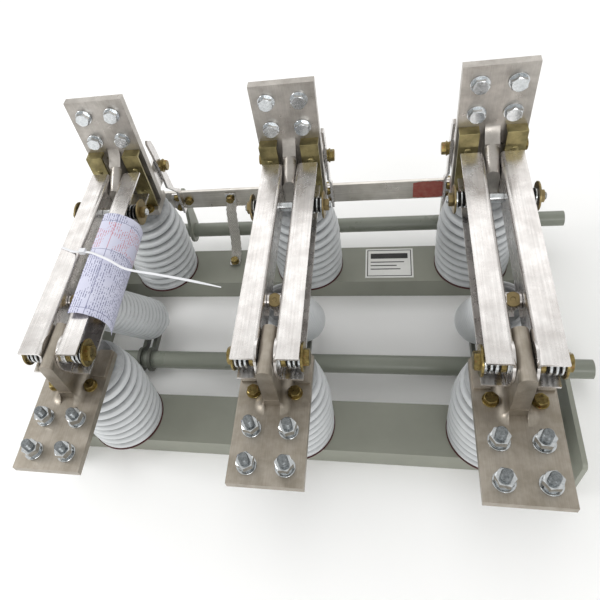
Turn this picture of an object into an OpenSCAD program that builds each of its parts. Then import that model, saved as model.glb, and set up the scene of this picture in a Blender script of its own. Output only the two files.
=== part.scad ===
// Three-pole indoor disconnect switch with earthing switch.
// X along the shafts, Y from the front pads to the rear pads, Z up. The frame rests on Z = 0.

/* [Frame] */
// distance between neighbouring poles
pole_pitch = 275; // [230:1:330]
// length of the frame between the inner faces of the side plates
frame_len = 736; // [640:1:900]
// distance between the front and rear channel centre lines
channel_gap = 312; // [270:1:360]
// width of a channel's web
channel_w = 80; // [60:1:100]
// height of a channel's flanges
channel_h = 43; // [35:1:60]
// thickness of a channel
channel_t = 5; // [3:0.5:8]
// thickness of a side plate
side_t = 6; // [4:0.5:10]
// height of a side plate
side_h = 104; // [98:1:140]
// length of a slot in a side plate
slot_len = 30; // [15:1:40]
// width of a slot in a side plate
slot_w = 11; // [9:0.5:14]

/* [Insulators] */
// height of a post insulator above its gasket
post_h = 174; // [150:1:220]
// greatest radius of a post insulator
post_r = 59; // [50:0.5:64]
// thickness of the gasket under a post
gasket_t = 2; // [1:0.5:6]
// radius of a post insulator's top
post_top_r = 36; // [32:0.5:40]
// how much thinner a post insulator is at its uppermost rib
post_taper = 15; // [8:0.5:18]
// depth of the grooves between an insulator's ribs
groove = 6; // [3:0.5:8]
// greatest radius of a pull insulator
pull_r = 37; // [30:0.5:38]

/* [Terminals] */
// width of a terminal pad
pad_w = 90; // [80:1:110]
// thickness of a front terminal pad
pad_t = 10; // [8:0.5:14]
// length of a front terminal pad
pad_len = 171; // [160:1:200]
// thickness of a rear terminal pad
rear_pad_t = 12; // [8:0.5:14]
// height of a rear terminal pad above its foot
rear_pad_h = 198; // [180:1:220]
// spacing of the terminal holes
hole_pitch = 45; // [40:1:60]
// radius of a terminal hole
hole_r = 6.75; // [5:0.25:8]
// thickness of the contact rib
rib_t = 19; // [14:0.5:22]
// radius of the fillets round a rib's foot
fillet = 14; // [8:0.5:16]

/* [Blades] */
// height of a blade channel
blade_h = 48; // [40:1:60]
// width of a blade channel's flanges
blade_flange = 30; // [20:0.5:34]
// thickness of a blade channel
blade_t = 3; // [2:0.5:5]
// outer radius of a blade channel's bends
blade_bend = 6; // [5.5:0.5:9]
// distance from the hinge to the far end of the blades
blade_reach = 311; // [280:1:330]
// distance from the hinge to the drive pin, and length of a crank
drive_len = 81; // [70:1:95]
// side gap between a blade and a rib
blade_gap = 0.5; // [0.3:0.1:2]
// radius of the hinge pin
hinge_r = 6; // [5:0.5:8]
// radius of the rod through the contact springs
grip_r = 5; // [4:0.5:6]
// radius of the drive pin
drive_r = 5; // [4:0.5:6]
// radius of the crank pin
crank_r = 6; // [5:0.5:8]

/* [Shafts] */
// radius of the main shaft
shaft_r = 15; // [12:0.5:18]
// radius of the earthing shaft
earth_r = 13.5; // [10:0.5:16]
// length of a shaft past the right side plate
shaft_out = 56; // [30:1:90]
// how much thinner the turned end of a shaft is, in radius
end_step = 0.5; // [0.3:0.1:2]
// height of the hinge above the shaft
rise = 259; // [250:1:275]

/* [Earthing] */
// height of the cross bar
bar_h = 40; // [30:1:50]
// thickness of the cross bar
bar_t = 6; // [4:0.5:8]

/* [Hidden] */
$fn = 48;
X = [-pole_pitch, 0, pole_pitch];
front_y = channel_w / 2 - channel_t / 2;
rear_y = front_y + channel_gap;
frame_x = frame_len / 2;
post_z = channel_h + gasket_t;
top_z = post_z + post_h;
pad_z = top_z + pad_t;
side_y0 = front_y - 69;
side_y1 = rear_y + 110;
S = [front_y + 114, 29];
H = [front_y - 30, S[1] + rise];
P = [H[0] + drive_len, H[1]];
Q = [S[0] + drive_len, S[1]];
link = sqrt(pow(Q[0] - P[0], 2) + pow(P[1] - Q[1], 2));
lean = atan2(Q[0] - P[0], P[1] - Q[1]);
E = [rear_y + 80, 61];
bar_z = E[1] + 70;
bar_y = E[0] - 3;
bar_len = 2 * pole_pitch + 86;
web_x = rib_t / 2 + blade_gap;
out_x = web_x + blade_flange;
G = [rear_y - 94, H[1]];
face_x = web_x + blade_t;
pad_y0 = front_y - 163;
hole_edge = 22.5;
fix_x = 26;
fix_y = H[0] - 16.5;
spot_r = 10.5;
rear_face = rear_y - 8;
foot_t = 12;
bush_t = 5;
bracket_w = 26;
fixed_x = pad_w / 2 - 1.6;
finger_x = fixed_x + 0.6;
pin_play = 0.06;
slot_in = 28;
slot_z = channel_h + 10;
shaft_in = 12;
eye_t = 10;
cheek_x = eye_t / 2 + 0.6;
cheek_t = 6;
ear_x = web_x - 0.6;
ear_t = 2.5;
steel = "#84857A";
tin = "#C4BDB2";
zinc = "#A8924E";
white = "#C9CCCE";

// A steel channel lying with its web up, along X.
module channel(cy) {
    difference() {
        translate([-frame_x + 0.3, cy - channel_w / 2, 0]) cube([frame_len - 0.6, channel_w, channel_h]);
        translate([-frame_x - 1, cy - channel_w / 2 + channel_t, -1])
            cube([frame_len + 2, channel_w - 2 * channel_t, channel_h + 1 - channel_t]);
    }
}

// A round bar along X from x0 to x1 at the point c in the YZ plane.
module bar_x(c, r, x0, x1) {
    translate([x0, c[0], c[1]]) rotate([0, 90, 0]) cylinder(r = r, h = x1 - x0);
}

module front_channel() color(steel) channel(front_y);

module rear_channel() color(steel) channel(rear_y);

module side_plate_outline(r = 8) {
    translate([side_y0 + r, 0]) square([side_y1 - side_y0 - 2 * r, side_h]);
    translate([side_y0, 0]) square([side_y1 - side_y0, side_h - r]);
    for (y = [side_y0 + r, side_y1 - r]) translate([y, side_h - r]) circle(r = r);
}

// A round-ended slot through the side plate on side s.
module slot(s, y) {
    run = (slot_len - slot_w) / 2;
    for (d = [-run, run]) bar_x([y + d, slot_z], slot_w / 2, s * frame_x - 20, s * frame_x + 20);
    translate([s * frame_x - 20, y - run, slot_z - slot_w / 2]) cube([40, 2 * run, slot_w]);
}

module side_plates() color(steel) for (s = [-1, 1]) difference() {
    translate([s > 0 ? frame_x : -frame_x - side_t, 0, 0])
        rotate([90, 0, 90]) linear_extrude(height = side_t) side_plate_outline();
    bar_x(S, shaft_r + bush_t, s * frame_x - 20, s * frame_x + 20);
    bar_x(E, earth_r + bush_t, s * frame_x - 20, s * frame_x + 20);
    slot(s, front_y - slot_in);
    slot(s, rear_y + slot_in);
}

// A bush in a side plate, with a collar on its inner side.
module bush(c, r, s) difference() {
    collar = 4;
    union() {
        bar_x(c, r + bush_t - 0.02, s > 0 ? frame_x : -frame_x - side_t, s > 0 ? frame_x + side_t : -frame_x);
        bar_x(c, r + bush_t + 3, s > 0 ? frame_x - collar : -frame_x, s > 0 ? frame_x : -frame_x + collar);
    }
    bar_x(c, r + 0.08, s * frame_x - 20, s * frame_x + 20);
}

module shaft_bushes() color("#6F7268") for (s = [-1, 1]) {
    bush(S, shaft_r, s);
    bush(E, earth_r, s);
}

module name_plate() color("#E8E8E6")
    translate([(pole_pitch - 77) / 2, rear_y - 32, channel_h]) cube([82, 66, 1]);

// Radius of a post's ribs at height z above its gasket.
function post_env(z) = z < 90 ? post_r : post_r - post_taper * pow((z - 90) / 70, 1.4);
// One rib of an insulator and the groove past it, from z over a pitch, on the radius env(z).
function rib_curve(z, r, pitch) = [for (k = [0:5])
    [r - groove + groove * pow(sin(30 * k), 0.7), z + k * pitch / 6]];
post_side = [for (i = [0:8]) for (q = rib_curve(14 + i * 16, post_env(22 + i * 16), 16)) q];

module post(x, y) translate([x, y, post_z]) rotate_extrude($fn = 64)
    polygon(concat([[0, 0], [post_r - 2, 0], [post_r - 1, 2], [post_r - 1, 8], [post_r - groove, 14]],
        post_side, [[post_env(160) - groove, 159], [post_top_r + 2, post_h - 11], [post_top_r + 1, post_h - 2],
        [post_top_r, post_h], [0, post_h]]));

module posts_front() color(white) for (x = X) post(x, front_y);

module posts_rear() color(white) for (x = X) post(x, rear_y);

module post_gaskets() color("#7A2E2A") for (x = X, y = [front_y, rear_y])
    translate([x, y, channel_h]) cylinder(r = post_r, h = gasket_t, $fn = 64);

// Section of a concave fillet, from the corner at the origin.
module fillet_section() difference() {
    translate([-1, -1]) square([fillet + 1, fillet + 1]);
    translate([fillet, fillet]) circle(r = fillet);
}

// The standing rib that the hinge pin passes through, with a round top.
module front_rib() {
    y0 = H[0] - 34;
    run = 66;
    translate([0, y0 + run, 0]) rotate([90, 0, 0]) linear_extrude(height = run) {
        translate([-rib_t / 2, pad_z - 1]) square([rib_t, H[1] + 20 - rib_t / 2 - pad_z + 1]);
        translate([0, H[1] + 20 - rib_t / 2]) circle(r = rib_t / 2);
    }
    for (s = [0, 1]) mirror([s, 0, 0]) {
        translate([rib_t / 2, y0 + run, pad_z]) rotate([90, 0, 0]) linear_extrude(height = run) fillet_section();
        translate([rib_t / 2, y0, pad_z]) rotate([0, 0, -90]) rotate_extrude(angle = 90) difference() {
            translate([0, -1]) square([fillet, fillet + 1]);
            translate([fillet, fillet]) circle(r = fillet);
        }
    }
    translate([-rib_t / 2, y0, pad_z]) rotate([90, 0, 0]) rotate([0, 90, 0])
        linear_extrude(height = rib_t) fillet_section();
}

module front_terminal(x) color(tin) translate([x, 0, 0]) difference() {
    union() {
        translate([-pad_w / 2, pad_y0, top_z]) cube([pad_w, pad_len, pad_t]);
        front_rib();
    }
    for (dx = [-1, 1], dy = [0, 1])
        translate([dx * hole_pitch / 2, pad_y0 + hole_edge + dy * hole_pitch, top_z - 5]) cylinder(r = hole_r, h = pad_t + 10);
    for (s = [-1, 1]) translate([s * fix_x, fix_y, pad_z]) cylinder(r = spot_r, h = 2 * fillet);
    bar_x(H, hinge_r + 0.05, -20, 20);
}

module front_terminal_left() front_terminal(X[0]);

module front_terminal_middle() front_terminal(X[1]);

module front_terminal_right() front_terminal(X[2]);

// Side outline of the rear rib, from its nose back into the pad.
module rear_rib_outline() {
    nose = rear_face - 52;
    polygon([[nose, H[1] - 26], [rear_face + 1, H[1] - 45], [rear_face + 1, H[1] + 60], [nose, H[1] + 60]]);
}

// The sloping rib that the blades close on, with a round top.
module rear_rib() {
    slope = 28;
    intersection() {
        translate([0, rear_face - 52, H[1] + 15]) rotate([slope + 90, 0, 0]) translate([0, 0, -90])
            linear_extrude(height = 120) {
            translate([-rib_t / 2, -120]) square([rib_t, 120 - rib_t / 2]);
            translate([0, -rib_t / 2]) circle(r = rib_t / 2);
        }
        translate([-rib_t, 0, 0]) rotate([90, 0, 90]) linear_extrude(height = 2 * rib_t) rear_rib_outline();
    }
    translate([-rib_t / 2, rear_face, H[1]]) rotate([90, 0, 90]) linear_extrude(height = rib_t)
        polygon([[1, 57], [-2, 49], [-6, 43], [-11, 38], [-18, 33], [-18, 20], [1, 20]]);
}

module rear_terminal(x) color(tin) translate([x, 0, 0]) difference() {
    union() {
        translate([-pad_w / 2, rear_face, top_z]) cube([pad_w, rear_pad_t, rear_pad_h + foot_t]);
        translate([-pad_w / 2, rear_face - 24, top_z]) cube([pad_w, 46, foot_t]);
        rear_rib();
    }
    for (dx = [-1, 1], dz = [0, 1])
        translate([dx * hole_pitch / 2, rear_face - 5, top_z + foot_t + rear_pad_h - 25 - dz * hole_pitch])
            rotate([-90, 0, 0]) cylinder(r = hole_r, h = rear_pad_t + 10);
}

module rear_terminal_left() rear_terminal(X[0]);

module rear_terminal_middle() rear_terminal(X[1]);

module rear_terminal_right() rear_terminal(X[2]);

module step_plates() color(tin) for (x = X, s = [-1, 1]) {
    x0 = rib_t / 2 + fillet + 1;
    w = pad_w / 2 - 2 - x0;
    translate([s > 0 ? x + x0 : x - x0 - w, fix_y + 13, pad_z]) cube([w, pad_y0 + pad_len - fix_y - 13, 4]);
}

module rear_brackets() color(zinc) for (x = X, s = [-1, 1])
    translate([s > 0 ? x + pad_w / 2 - 2 - bracket_w : x - pad_w / 2 + 2, 0, 0]) {
        translate([0, rear_face - 16, top_z + foot_t]) cube([bracket_w, 4, 107]);
        translate([0, rear_face - 12, top_z + foot_t + 103]) cube([bracket_w, 12, 4]);
    }

module fixed_earth_contacts() color(tin) for (x = X, s = [-1, 1])
    translate([s > 0 ? x + fixed_x - 4 : x - fixed_x, rear_face + rear_pad_t, top_z + foot_t + 9]) cube([4, 40, 50]);

// Centre line of the braid in the YZ plane, from the rear channel up to the cross bar.
braid_t = 3;
braid_y = bar_y - bar_t - braid_t / 2 - 0.7;
braid_path = [[rear_y + 4, channel_h + 2], [rear_y + 14, channel_h + 3], [rear_y + 27, channel_h + 10],
    [rear_y + 38, channel_h + 26], [rear_y + 45, channel_h + 48], [rear_y + 50, channel_h + 70],
    [rear_y + 57, bar_z + 3], [E[0] - 10 - bar_t, bar_z + 8], [braid_y, bar_z + 16], [braid_y, bar_z + 34]];
function braid_way(i) = let(d = braid_path[min(i + 1, 9)] - braid_path[max(i - 1, 0)]) [-d[1], d[0]] / norm(d);

module earth_braid() color(tin) translate([-150, 0, 0]) rotate([90, 0, 90]) linear_extrude(height = 18)
    polygon(concat([for (i = [0:9]) braid_path[i] + braid_t / 2 * braid_way(i)],
        [for (i = [9:-1:0]) braid_path[i] - braid_t / 2 * braid_way(i)]));

// A folded document laid over one blade, open on its inner side; a is half its width.
module document_roll(a = blade_flange + 8, b = blade_h / 2 + 12, paper = 3) color("#D9D8E2")
    translate([X[0] + web_x + blade_flange / 2 - 3, H[0] + 216, H[1] - 3]) rotate([90, 0, 0]) linear_extrude(height = 177)
    polygon(concat([for (t = [-30:9:105]) [a * cos(t), b * sin(t)]],
        [for (t = [105:-9:-30]) [(a - paper) * cos(t), (b - paper) * sin(t)]]));

// A hollow shaft with a turned right end; c is its centre, r its radius and bore the radius inside.
module shaft(c, r, bore) difference() {
    union() {
        bar_x(c, r, -frame_x - side_t - shaft_in, frame_x + side_t + 3);
        bar_x(c, r - end_step, frame_x + side_t + 2, frame_x + side_t + shaft_out);
    }
    bar_x(c, bore, -frame_x - side_t - shaft_in - 1, frame_x + side_t + shaft_out + 1);
}

module main_shaft() color("#7F8278") shaft(S, shaft_r, shaft_r - 3.5);

module crank_cheeks() color("#4A4C46") for (x = X, s = [-1, 1]) {
    x0 = s > 0 ? x + cheek_x : x - cheek_x - cheek_t;
    difference() {
        union() {
            bar_x(S, shaft_r + 6, x0, x0 + cheek_t);
            bar_x(Q, crank_r + 3, x0, x0 + cheek_t);
            translate([x0, S[0], S[1] - 8]) cube([cheek_t, drive_len, 16]);
        }
        bar_x(S, shaft_r, x0 - 1, x0 + cheek_t + 1);
        bar_x(Q, crank_r, x0 - 1, x0 + cheek_t + 1);
    }
}

module crank_pins() color("#B9B7B0") for (x = X) {
    side = cheek_x + cheek_t;
    bar_x(Q, crank_r, x - side - 2.4, x + side + 2.4);
    for (s = [-1, 1]) bar_x(Q, crank_r + 3, s > 0 ? x + side : x - side - 2.4, s > 0 ? x + side + 2.4 : x - side);
}

// Places children with Z along a pull insulator, from the crank pin up to the drive pin.
module on_link(x) translate([x, Q[0], Q[1]]) rotate([lean, 0, 0]) children();

// Radius of a pull insulator's ribs at distance z from the crank pin.
function pull_env(z) = pull_r - 4 * max(0, z - 60) / 174;
pull_side = [for (i = [0:12]) for (q = rib_curve(52 + i * 14, pull_env(59 + i * 14), 14)) q];

module pull_insulator(x) color(white) on_link(x) rotate_extrude($fn = 48)
    polygon(concat([[0, 26], [19, 26], [26, 30], [31, 35], [pull_r - 0.5, 40], [pull_r, 44], [pull_r - 1, 48], [pull_r - groove, 52]],
        pull_side, [[pull_env(234) - groove, 234], [26, 238], [24, link - 53], [22, link - 51], [0, link - 51]]));

module pull_insulator_left() pull_insulator(X[0]);

module pull_insulator_middle() pull_insulator(X[1]);

module pull_insulator_right() pull_insulator(X[2]);

module pull_eye(x) color("#8C8A82") on_link(x) difference() {
    union() {
        translate([-eye_t / 2, 0, 0]) rotate([0, 90, 0]) cylinder(r = 11, h = eye_t);
        translate([-eye_t / 2, -11, 0]) cube([eye_t, 22, 22]);
        translate([0, 0, 21]) cylinder(r = 14, h = 5);
    }
    translate([-eye_t, 0, 0]) rotate([0, 90, 0]) cylinder(r = crank_r + pin_play, h = 2 * eye_t);
}

module pull_eye_left() pull_eye(X[0]);

module pull_eye_middle() pull_eye(X[1]);

module pull_eye_right() pull_eye(X[2]);

module pull_clevis(x) color(zinc) on_link(x) difference() {
    union() {
        translate([0, 0, link - 51]) cylinder(r = ear_x - 0.2, h = 12);
        translate([-ear_x, -15, link - 44]) cube([2 * ear_x, 30, 4]);
        for (s = [-1, 1]) translate([s > 0 ? ear_x - ear_t : -ear_x, 0, 0]) {
            translate([0, -9, link - 44]) cube([ear_t, 18, 44]);
            translate([0, 0, link]) rotate([0, 90, 0]) cylinder(r = 9, h = ear_t);
        }
    }
    translate([-web_x, 0, link]) rotate([0, 90, 0]) cylinder(r = drive_r + pin_play, h = 2 * web_x);
}

module pull_clevis_left() pull_clevis(X[0]);

module pull_clevis_middle() pull_clevis(X[1]);

module pull_clevis_right() pull_clevis(X[2]);

// A w by h rectangle from the origin whose two corners at x = 0 are rounded.
module bent(w, h, r) {
    translate([r, 0]) square([w - r, h]);
    translate([0, r]) square([w, h - 2 * r]);
    for (y = [r, h - r]) translate([r, y]) circle(r = r);
}

module blade_section() difference() {
    bent(blade_flange, blade_h, blade_bend);
    translate([blade_t, blade_t]) bent(blade_flange, blade_h - 2 * blade_t, blade_bend - blade_t);
}

// One channel blade with its flanges turned outward; s is the side.
module blade(x, s) difference() {
    union() {
        translate([x, H[0] + blade_reach, H[1] - blade_h / 2]) mirror([s > 0 ? 0 : 1, 0, 0])
            translate([web_x, 0, 0]) rotate([90, 0, 0]) linear_extrude(height = blade_reach + 18) blade_section();
        bar_x(H, blade_h / 2, s > 0 ? x + web_x : x - web_x - blade_t, s > 0 ? x + web_x + blade_t : x - web_x);
    }
    bar_x(H, hinge_r, x - 60, x + 60);
    bar_x(P, drive_r, x - 60, x + 60);
    bar_x(G, grip_r, x - 60, x + 60);
}

module blades(x) color(tin) for (s = [-1, 1]) blade(x, s);

module blades_left() blades(X[0]);

module blades_middle() blades(X[1]);

module blades_right() blades(X[2]);

// Discs of radius r on both sides of a pole at x, from a to b out from its middle.
module disc_pair(x, c, r, a, b) for (s = [-1, 1]) bar_x(c, r, s > 0 ? x + a : x - b, s > 0 ? x + b : x - a);

// Pin with a spring block between washers on both sides of the blades.
module hinge_pack(x) color(zinc) {
    bar_x(H, hinge_r, x - out_x - 9, x + out_x + 9);
    disc_pair(x, H, 14.5, face_x, face_x + 2);
    disc_pair(x, H, 9, face_x + 2, out_x - 2.5);
    disc_pair(x, H, 14.5, out_x - 2.5, out_x - 0.5);
    disc_pair(x, H, 18, out_x - 0.5, out_x + 2.5);
}

module hinge_pack_left() hinge_pack(X[0]);

module hinge_pack_middle() hinge_pack(X[1]);

module hinge_pack_right() hinge_pack(X[2]);

// Rod and drive pin of one pole, with the contact springs' blocks and washers.
module contact_pack(x) color(zinc) {
    bar_x(G, grip_r, x - out_x - 22, x + out_x + 22);
    bar_x(G, grip_r + 2, x - web_x, x + web_x);
    disc_pair(x, G, 12, face_x, face_x + 2);
    disc_pair(x, G, 8, face_x + 2, out_x + 9.5);
    disc_pair(x, G, 19.5, out_x + 9.5, out_x + 12.5);
    bar_x(P, drive_r, x - face_x - 5, x + face_x + 5);
    disc_pair(x, P, drive_r + 3, face_x, face_x + 7);
}

module contact_pack_left() contact_pack(X[0]);

module contact_pack_middle() contact_pack(X[1]);

module contact_pack_right() contact_pack(X[2]);

module earth_shaft() color("#7F8278") shaft(E, earth_r, earth_r - 3);

module earth_arms() color("#8B8D84") for (x = [39 - pole_pitch, -38, pole_pitch - 45]) difference() {
    union() {
        bar_x(E, earth_r + 9.5, x, x + 6);
        translate([x, 0, 0]) rotate([90, 0, 90]) linear_extrude(height = 6)
            polygon([[E[0] - 23, E[1]], [E[0] + 23, E[1]], [E[0] + 20, bar_z + 14], [E[0] + 14, bar_z + 30],
                [bar_y, bar_z + 30], [bar_y, bar_z - 3]]);
    }
    bar_x(E, earth_r, x - 20, x + 20);
}

module earth_bar() color(tin)
    translate([-bar_len / 2, bar_y - bar_t, bar_z]) cube([bar_len, bar_t, bar_h]);

// Side outline of a finger, from its foot on the cross bar up to its tip.
module finger_outline() polygon([[0, 1], [0, 50], [-24, 75], [-30, 120], [-38, 178], [-43, 194], [-54, 203],
    [-58, 198], [-53, 170], [-47, 125], [-46, 95], [-14, 54], [-14, 1]]);

module earth_fingers() color(tin) for (x = X, s = [-1, 1]) {
    translate([s > 0 ? x + finger_x - 16 : x - finger_x - 4, bar_y - bar_t - 4, bar_z + 1]) cube([20, 4, bar_h - 2]);
    translate([s > 0 ? x + finger_x : x - finger_x - 4, bar_y - bar_t, bar_z]) rotate([90, 0, 90])
        linear_extrude(height = 4) finger_outline();
}

front_channel();
rear_channel();
side_plates();
shaft_bushes();
name_plate();
posts_front();
posts_rear();
post_gaskets();
front_terminal_left();
front_terminal_middle();
front_terminal_right();
rear_terminal_left();
rear_terminal_middle();
rear_terminal_right();
step_plates();
rear_brackets();
fixed_earth_contacts();
earth_braid();
main_shaft();
crank_cheeks();
crank_pins();
pull_insulator_left();
pull_insulator_middle();
pull_insulator_right();
pull_eye_left();
pull_eye_middle();
pull_eye_right();
pull_clevis_left();
pull_clevis_middle();
pull_clevis_right();
blades_left();
blades_middle();
blades_right();
hinge_pack_left();
hinge_pack_middle();
hinge_pack_right();
contact_pack_left();
contact_pack_middle();
contact_pack_right();
earth_shaft();
earth_arms();
earth_bar();
earth_fingers();
document_roll();
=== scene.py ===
"""Looks for a three-pole indoor disconnect switch with an earthing switch.

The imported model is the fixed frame. Lengths below are in millimetres of the row's frame:
X runs along the shafts, Y from the front pads to the rear pads, Z up from the floor.
"""

import logging
import math
import random
from dataclasses import dataclass
from enum import Enum
from typing import Sequence

import bmesh
import bpy
from mathutils import Matrix, Vector


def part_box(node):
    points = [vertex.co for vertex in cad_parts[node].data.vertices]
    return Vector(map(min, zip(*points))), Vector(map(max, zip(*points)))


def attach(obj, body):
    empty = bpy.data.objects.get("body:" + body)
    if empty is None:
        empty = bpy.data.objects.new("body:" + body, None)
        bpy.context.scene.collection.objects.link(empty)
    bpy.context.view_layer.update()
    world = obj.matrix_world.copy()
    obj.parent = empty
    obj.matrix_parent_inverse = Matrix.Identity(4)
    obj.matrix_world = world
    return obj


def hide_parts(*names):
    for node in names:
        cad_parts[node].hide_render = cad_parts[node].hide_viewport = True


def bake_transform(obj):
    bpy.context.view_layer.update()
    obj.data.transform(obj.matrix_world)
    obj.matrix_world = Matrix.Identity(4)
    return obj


Tree = bpy.types.NodeTree
Socket = bpy.types.NodeSocket

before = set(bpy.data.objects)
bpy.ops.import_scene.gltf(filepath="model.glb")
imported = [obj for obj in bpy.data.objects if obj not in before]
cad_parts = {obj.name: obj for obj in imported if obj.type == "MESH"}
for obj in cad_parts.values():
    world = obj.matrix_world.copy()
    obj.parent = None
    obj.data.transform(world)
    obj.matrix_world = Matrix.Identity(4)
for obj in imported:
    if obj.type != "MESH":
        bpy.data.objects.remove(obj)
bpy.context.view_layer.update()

LOG = logging.getLogger("switch")
MM = 0.001
POLES = ("left", "middle", "right")
SIDES = (-1, 1)


# ---------------------------------------------------------------- small tools


def linear(colour: str) -> tuple[float, float, float, float]:
    """Turn an sRGB hex colour into linear light.

    Args:
        colour: A colour such as "#84857A".

    Returns:
        Red, green, blue and alpha, linear.
    """
    parts = [int(colour[i : i + 2], 16) / 255 for i in (1, 3, 5)]
    light = [c / 12.92 if c <= 0.04045 else ((c + 0.055) / 1.055) ** 2.4 for c in parts]
    return light[0], light[1], light[2], 1.0


def add_node(
    tree: Tree, kind: str, settings: dict | None = None, links: dict | None = None
) -> bpy.types.Node:
    """Add one node, set it and wire its inputs.

    Args:
        tree: The tree that the node joins.
        kind: The node's type name.
        settings: Input sockets by name or index, or properties by name, and their values.
        links: Input sockets by name or index, and the output sockets that feed them.

    Returns:
        The new node.
    """
    node = tree.nodes.new(kind)
    for key, value in (settings or {}).items():
        if isinstance(key, int) or key in node.inputs:
            node.inputs[key].default_value = value
        else:
            setattr(node, key, value)
    for key, source in (links or {}).items():
        tree.links.new(source, node.inputs[key])
    return node


def per_mm(size: float) -> float:
    """Return the noise scale, per metre, of a pattern whose features are that many millimetres."""
    return 1000.0 / size


def box_mm(node: str) -> tuple[Vector, Vector]:
    """Return the low and high corners of a CAD node, in millimetres."""
    low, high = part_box(node)
    return low / MM, high / MM


def middle_x(node: str) -> float:
    """Return the middle of a CAD node along X, in millimetres."""
    low, high = box_mm(node)
    return (low.x + high.x) / 2


class Axis(Enum):
    """The way that a turned piece or a row of marks runs."""

    X = (1, 0, 0)
    Y = (0, 1, 0)
    Z = (0, 0, 1)
    BACK_Y = (0, -1, 0)
    DOWN = (0, 0, -1)

    @property
    def way(self) -> Vector:
        """The axis as a vector."""
        return Vector(self.value)


# ------------------------------------------------------------------ finishes


@dataclass(frozen=True)
class Finish:
    """What every finish shares: a shader fed by colour, roughness and bump patterns.

    A pattern is sized by a real length in millimetres, and lies on the row's own coordinates,
    so that it runs on from one piece to the next at one scale.
    """

    name: str
    base: str
    tint: str
    metallic: float = 0.0
    rough: float = 0.5
    rough_swing: float = 0.1
    blotch_mm: float = 30.0
    blotch_share: float = 0.5
    grain_mm: tuple[float, float, float] = (1.0, 1.0, 1.0)
    grain_depth: float = 0.02
    grain_tint: float = 0.0
    coat: float = 0.0
    coat_rough: float = 0.2
    speck: str = ""
    speck_mm: float = 5.0
    speck_from: float = 0.66
    speck_edge: float = 0.06

    def build(self) -> bpy.types.Material:
        """Make the material, or return the one already made.

        Returns:
            The material.
        """
        found = bpy.data.materials.get(self.name)
        if found:
            return found
        material = bpy.data.materials.new(self.name)
        material.use_nodes = True
        tree = material.node_tree
        shader = tree.nodes["Principled BSDF"]
        shader.inputs["Metallic"].default_value = self.metallic
        if self.coat:
            shader.inputs["Coat Weight"].default_value = self.coat
            shader.inputs["Coat Roughness"].default_value = self.coat_rough
        place = add_node(tree, "ShaderNodeTexCoord").outputs["Object"]
        tree.links.new(self.colour(tree, place), shader.inputs["Base Color"])
        tree.links.new(self.roughness(tree, place), shader.inputs["Roughness"])
        tree.links.new(self.relief(tree, place), shader.inputs["Normal"])
        return material

    def grain(self, tree: Tree, place: Socket) -> Socket:
        """Return noise drawn out to the grain's three lengths."""
        scale = tuple(per_mm(g) for g in self.grain_mm)
        drawn = add_node(tree, "ShaderNodeMapping", {"Scale": scale}, {"Vector": place})
        settings = {"Scale": 1.0, "Detail": 3.0, "Roughness": 0.6}
        return add_node(tree, "ShaderNodeTexNoise", settings, {"Vector": drawn.outputs[0]}).outputs["Fac"]

    def colour(self, tree: Tree, place: Socket) -> Socket:
        """Return the base colour, clouded by the tint and streaked by the grain."""
        clouds = {"Scale": per_mm(self.blotch_mm), "Detail": 5.0, "Roughness": 0.6}
        noise = add_node(tree, "ShaderNodeTexNoise", clouds, {"Vector": place})
        share = add_node(
            tree, "ShaderNodeMapRange",
            {"From Min": 0.35, "From Max": 0.68, "To Max": self.blotch_share},
            {"Value": noise.outputs["Fac"]},
        )
        mixed = add_node(
            tree, "ShaderNodeMix",
            {"data_type": "RGBA", 6: linear(self.base), 7: linear(self.tint)}, {0: share.outputs[0]},
        ).outputs[2]
        if self.grain_tint:
            level = add_node(
                tree, "ShaderNodeMapRange",
                {
                    "From Min": 0.3, "From Max": 0.7,
                    "To Min": 1 - self.grain_tint, "To Max": 1 + self.grain_tint,
                },
                {"Value": self.grain(tree, place)},
            )
            mixed = add_node(
                tree, "ShaderNodeMix", {"data_type": "RGBA", "blend_type": "MULTIPLY", 0: 1.0},
                {6: mixed, 7: level.outputs[0]},
            ).outputs[2]
        if self.speck:
            spots = {"Scale": per_mm(self.speck_mm), "Detail": 6.0, "Roughness": 0.7}
            noise = add_node(tree, "ShaderNodeTexNoise", spots, {"Vector": place})
            edge = add_node(
                tree, "ShaderNodeMapRange",
                {"From Min": self.speck_from, "From Max": self.speck_from + self.speck_edge},
                {"Value": noise.outputs["Fac"]},
            )
            mixed = add_node(
                tree, "ShaderNodeMix",
                {"data_type": "RGBA", 7: linear(self.speck)}, {0: edge.outputs[0], 6: mixed},
            ).outputs[2]
        return mixed

    def roughness(self, tree: Tree, place: Socket) -> Socket:
        """Return the roughness, with smears a little over half the blotches' size."""
        smears = {"Scale": per_mm(self.blotch_mm * 0.6), "Detail": 4.0}
        noise = add_node(tree, "ShaderNodeTexNoise", smears, {"Vector": place})
        least, most = self.rough - self.rough_swing, self.rough + self.rough_swing
        spread = add_node(
            tree, "ShaderNodeMapRange",
            {"From Min": 0.3, "From Max": 0.7, "To Min": least, "To Max": most},
            {"Value": noise.outputs["Fac"]},
        )
        return spread.outputs[0]

    def relief(self, tree: Tree, place: Socket) -> Socket:
        """Return the bumped normal that the grain gives."""
        bump = add_node(
            tree, "ShaderNodeBump",
            {"Strength": 0.6, "Distance": self.grain_depth * MM}, {"Height": self.grain(tree, place)},
        )
        return bump.outputs[0]


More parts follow.
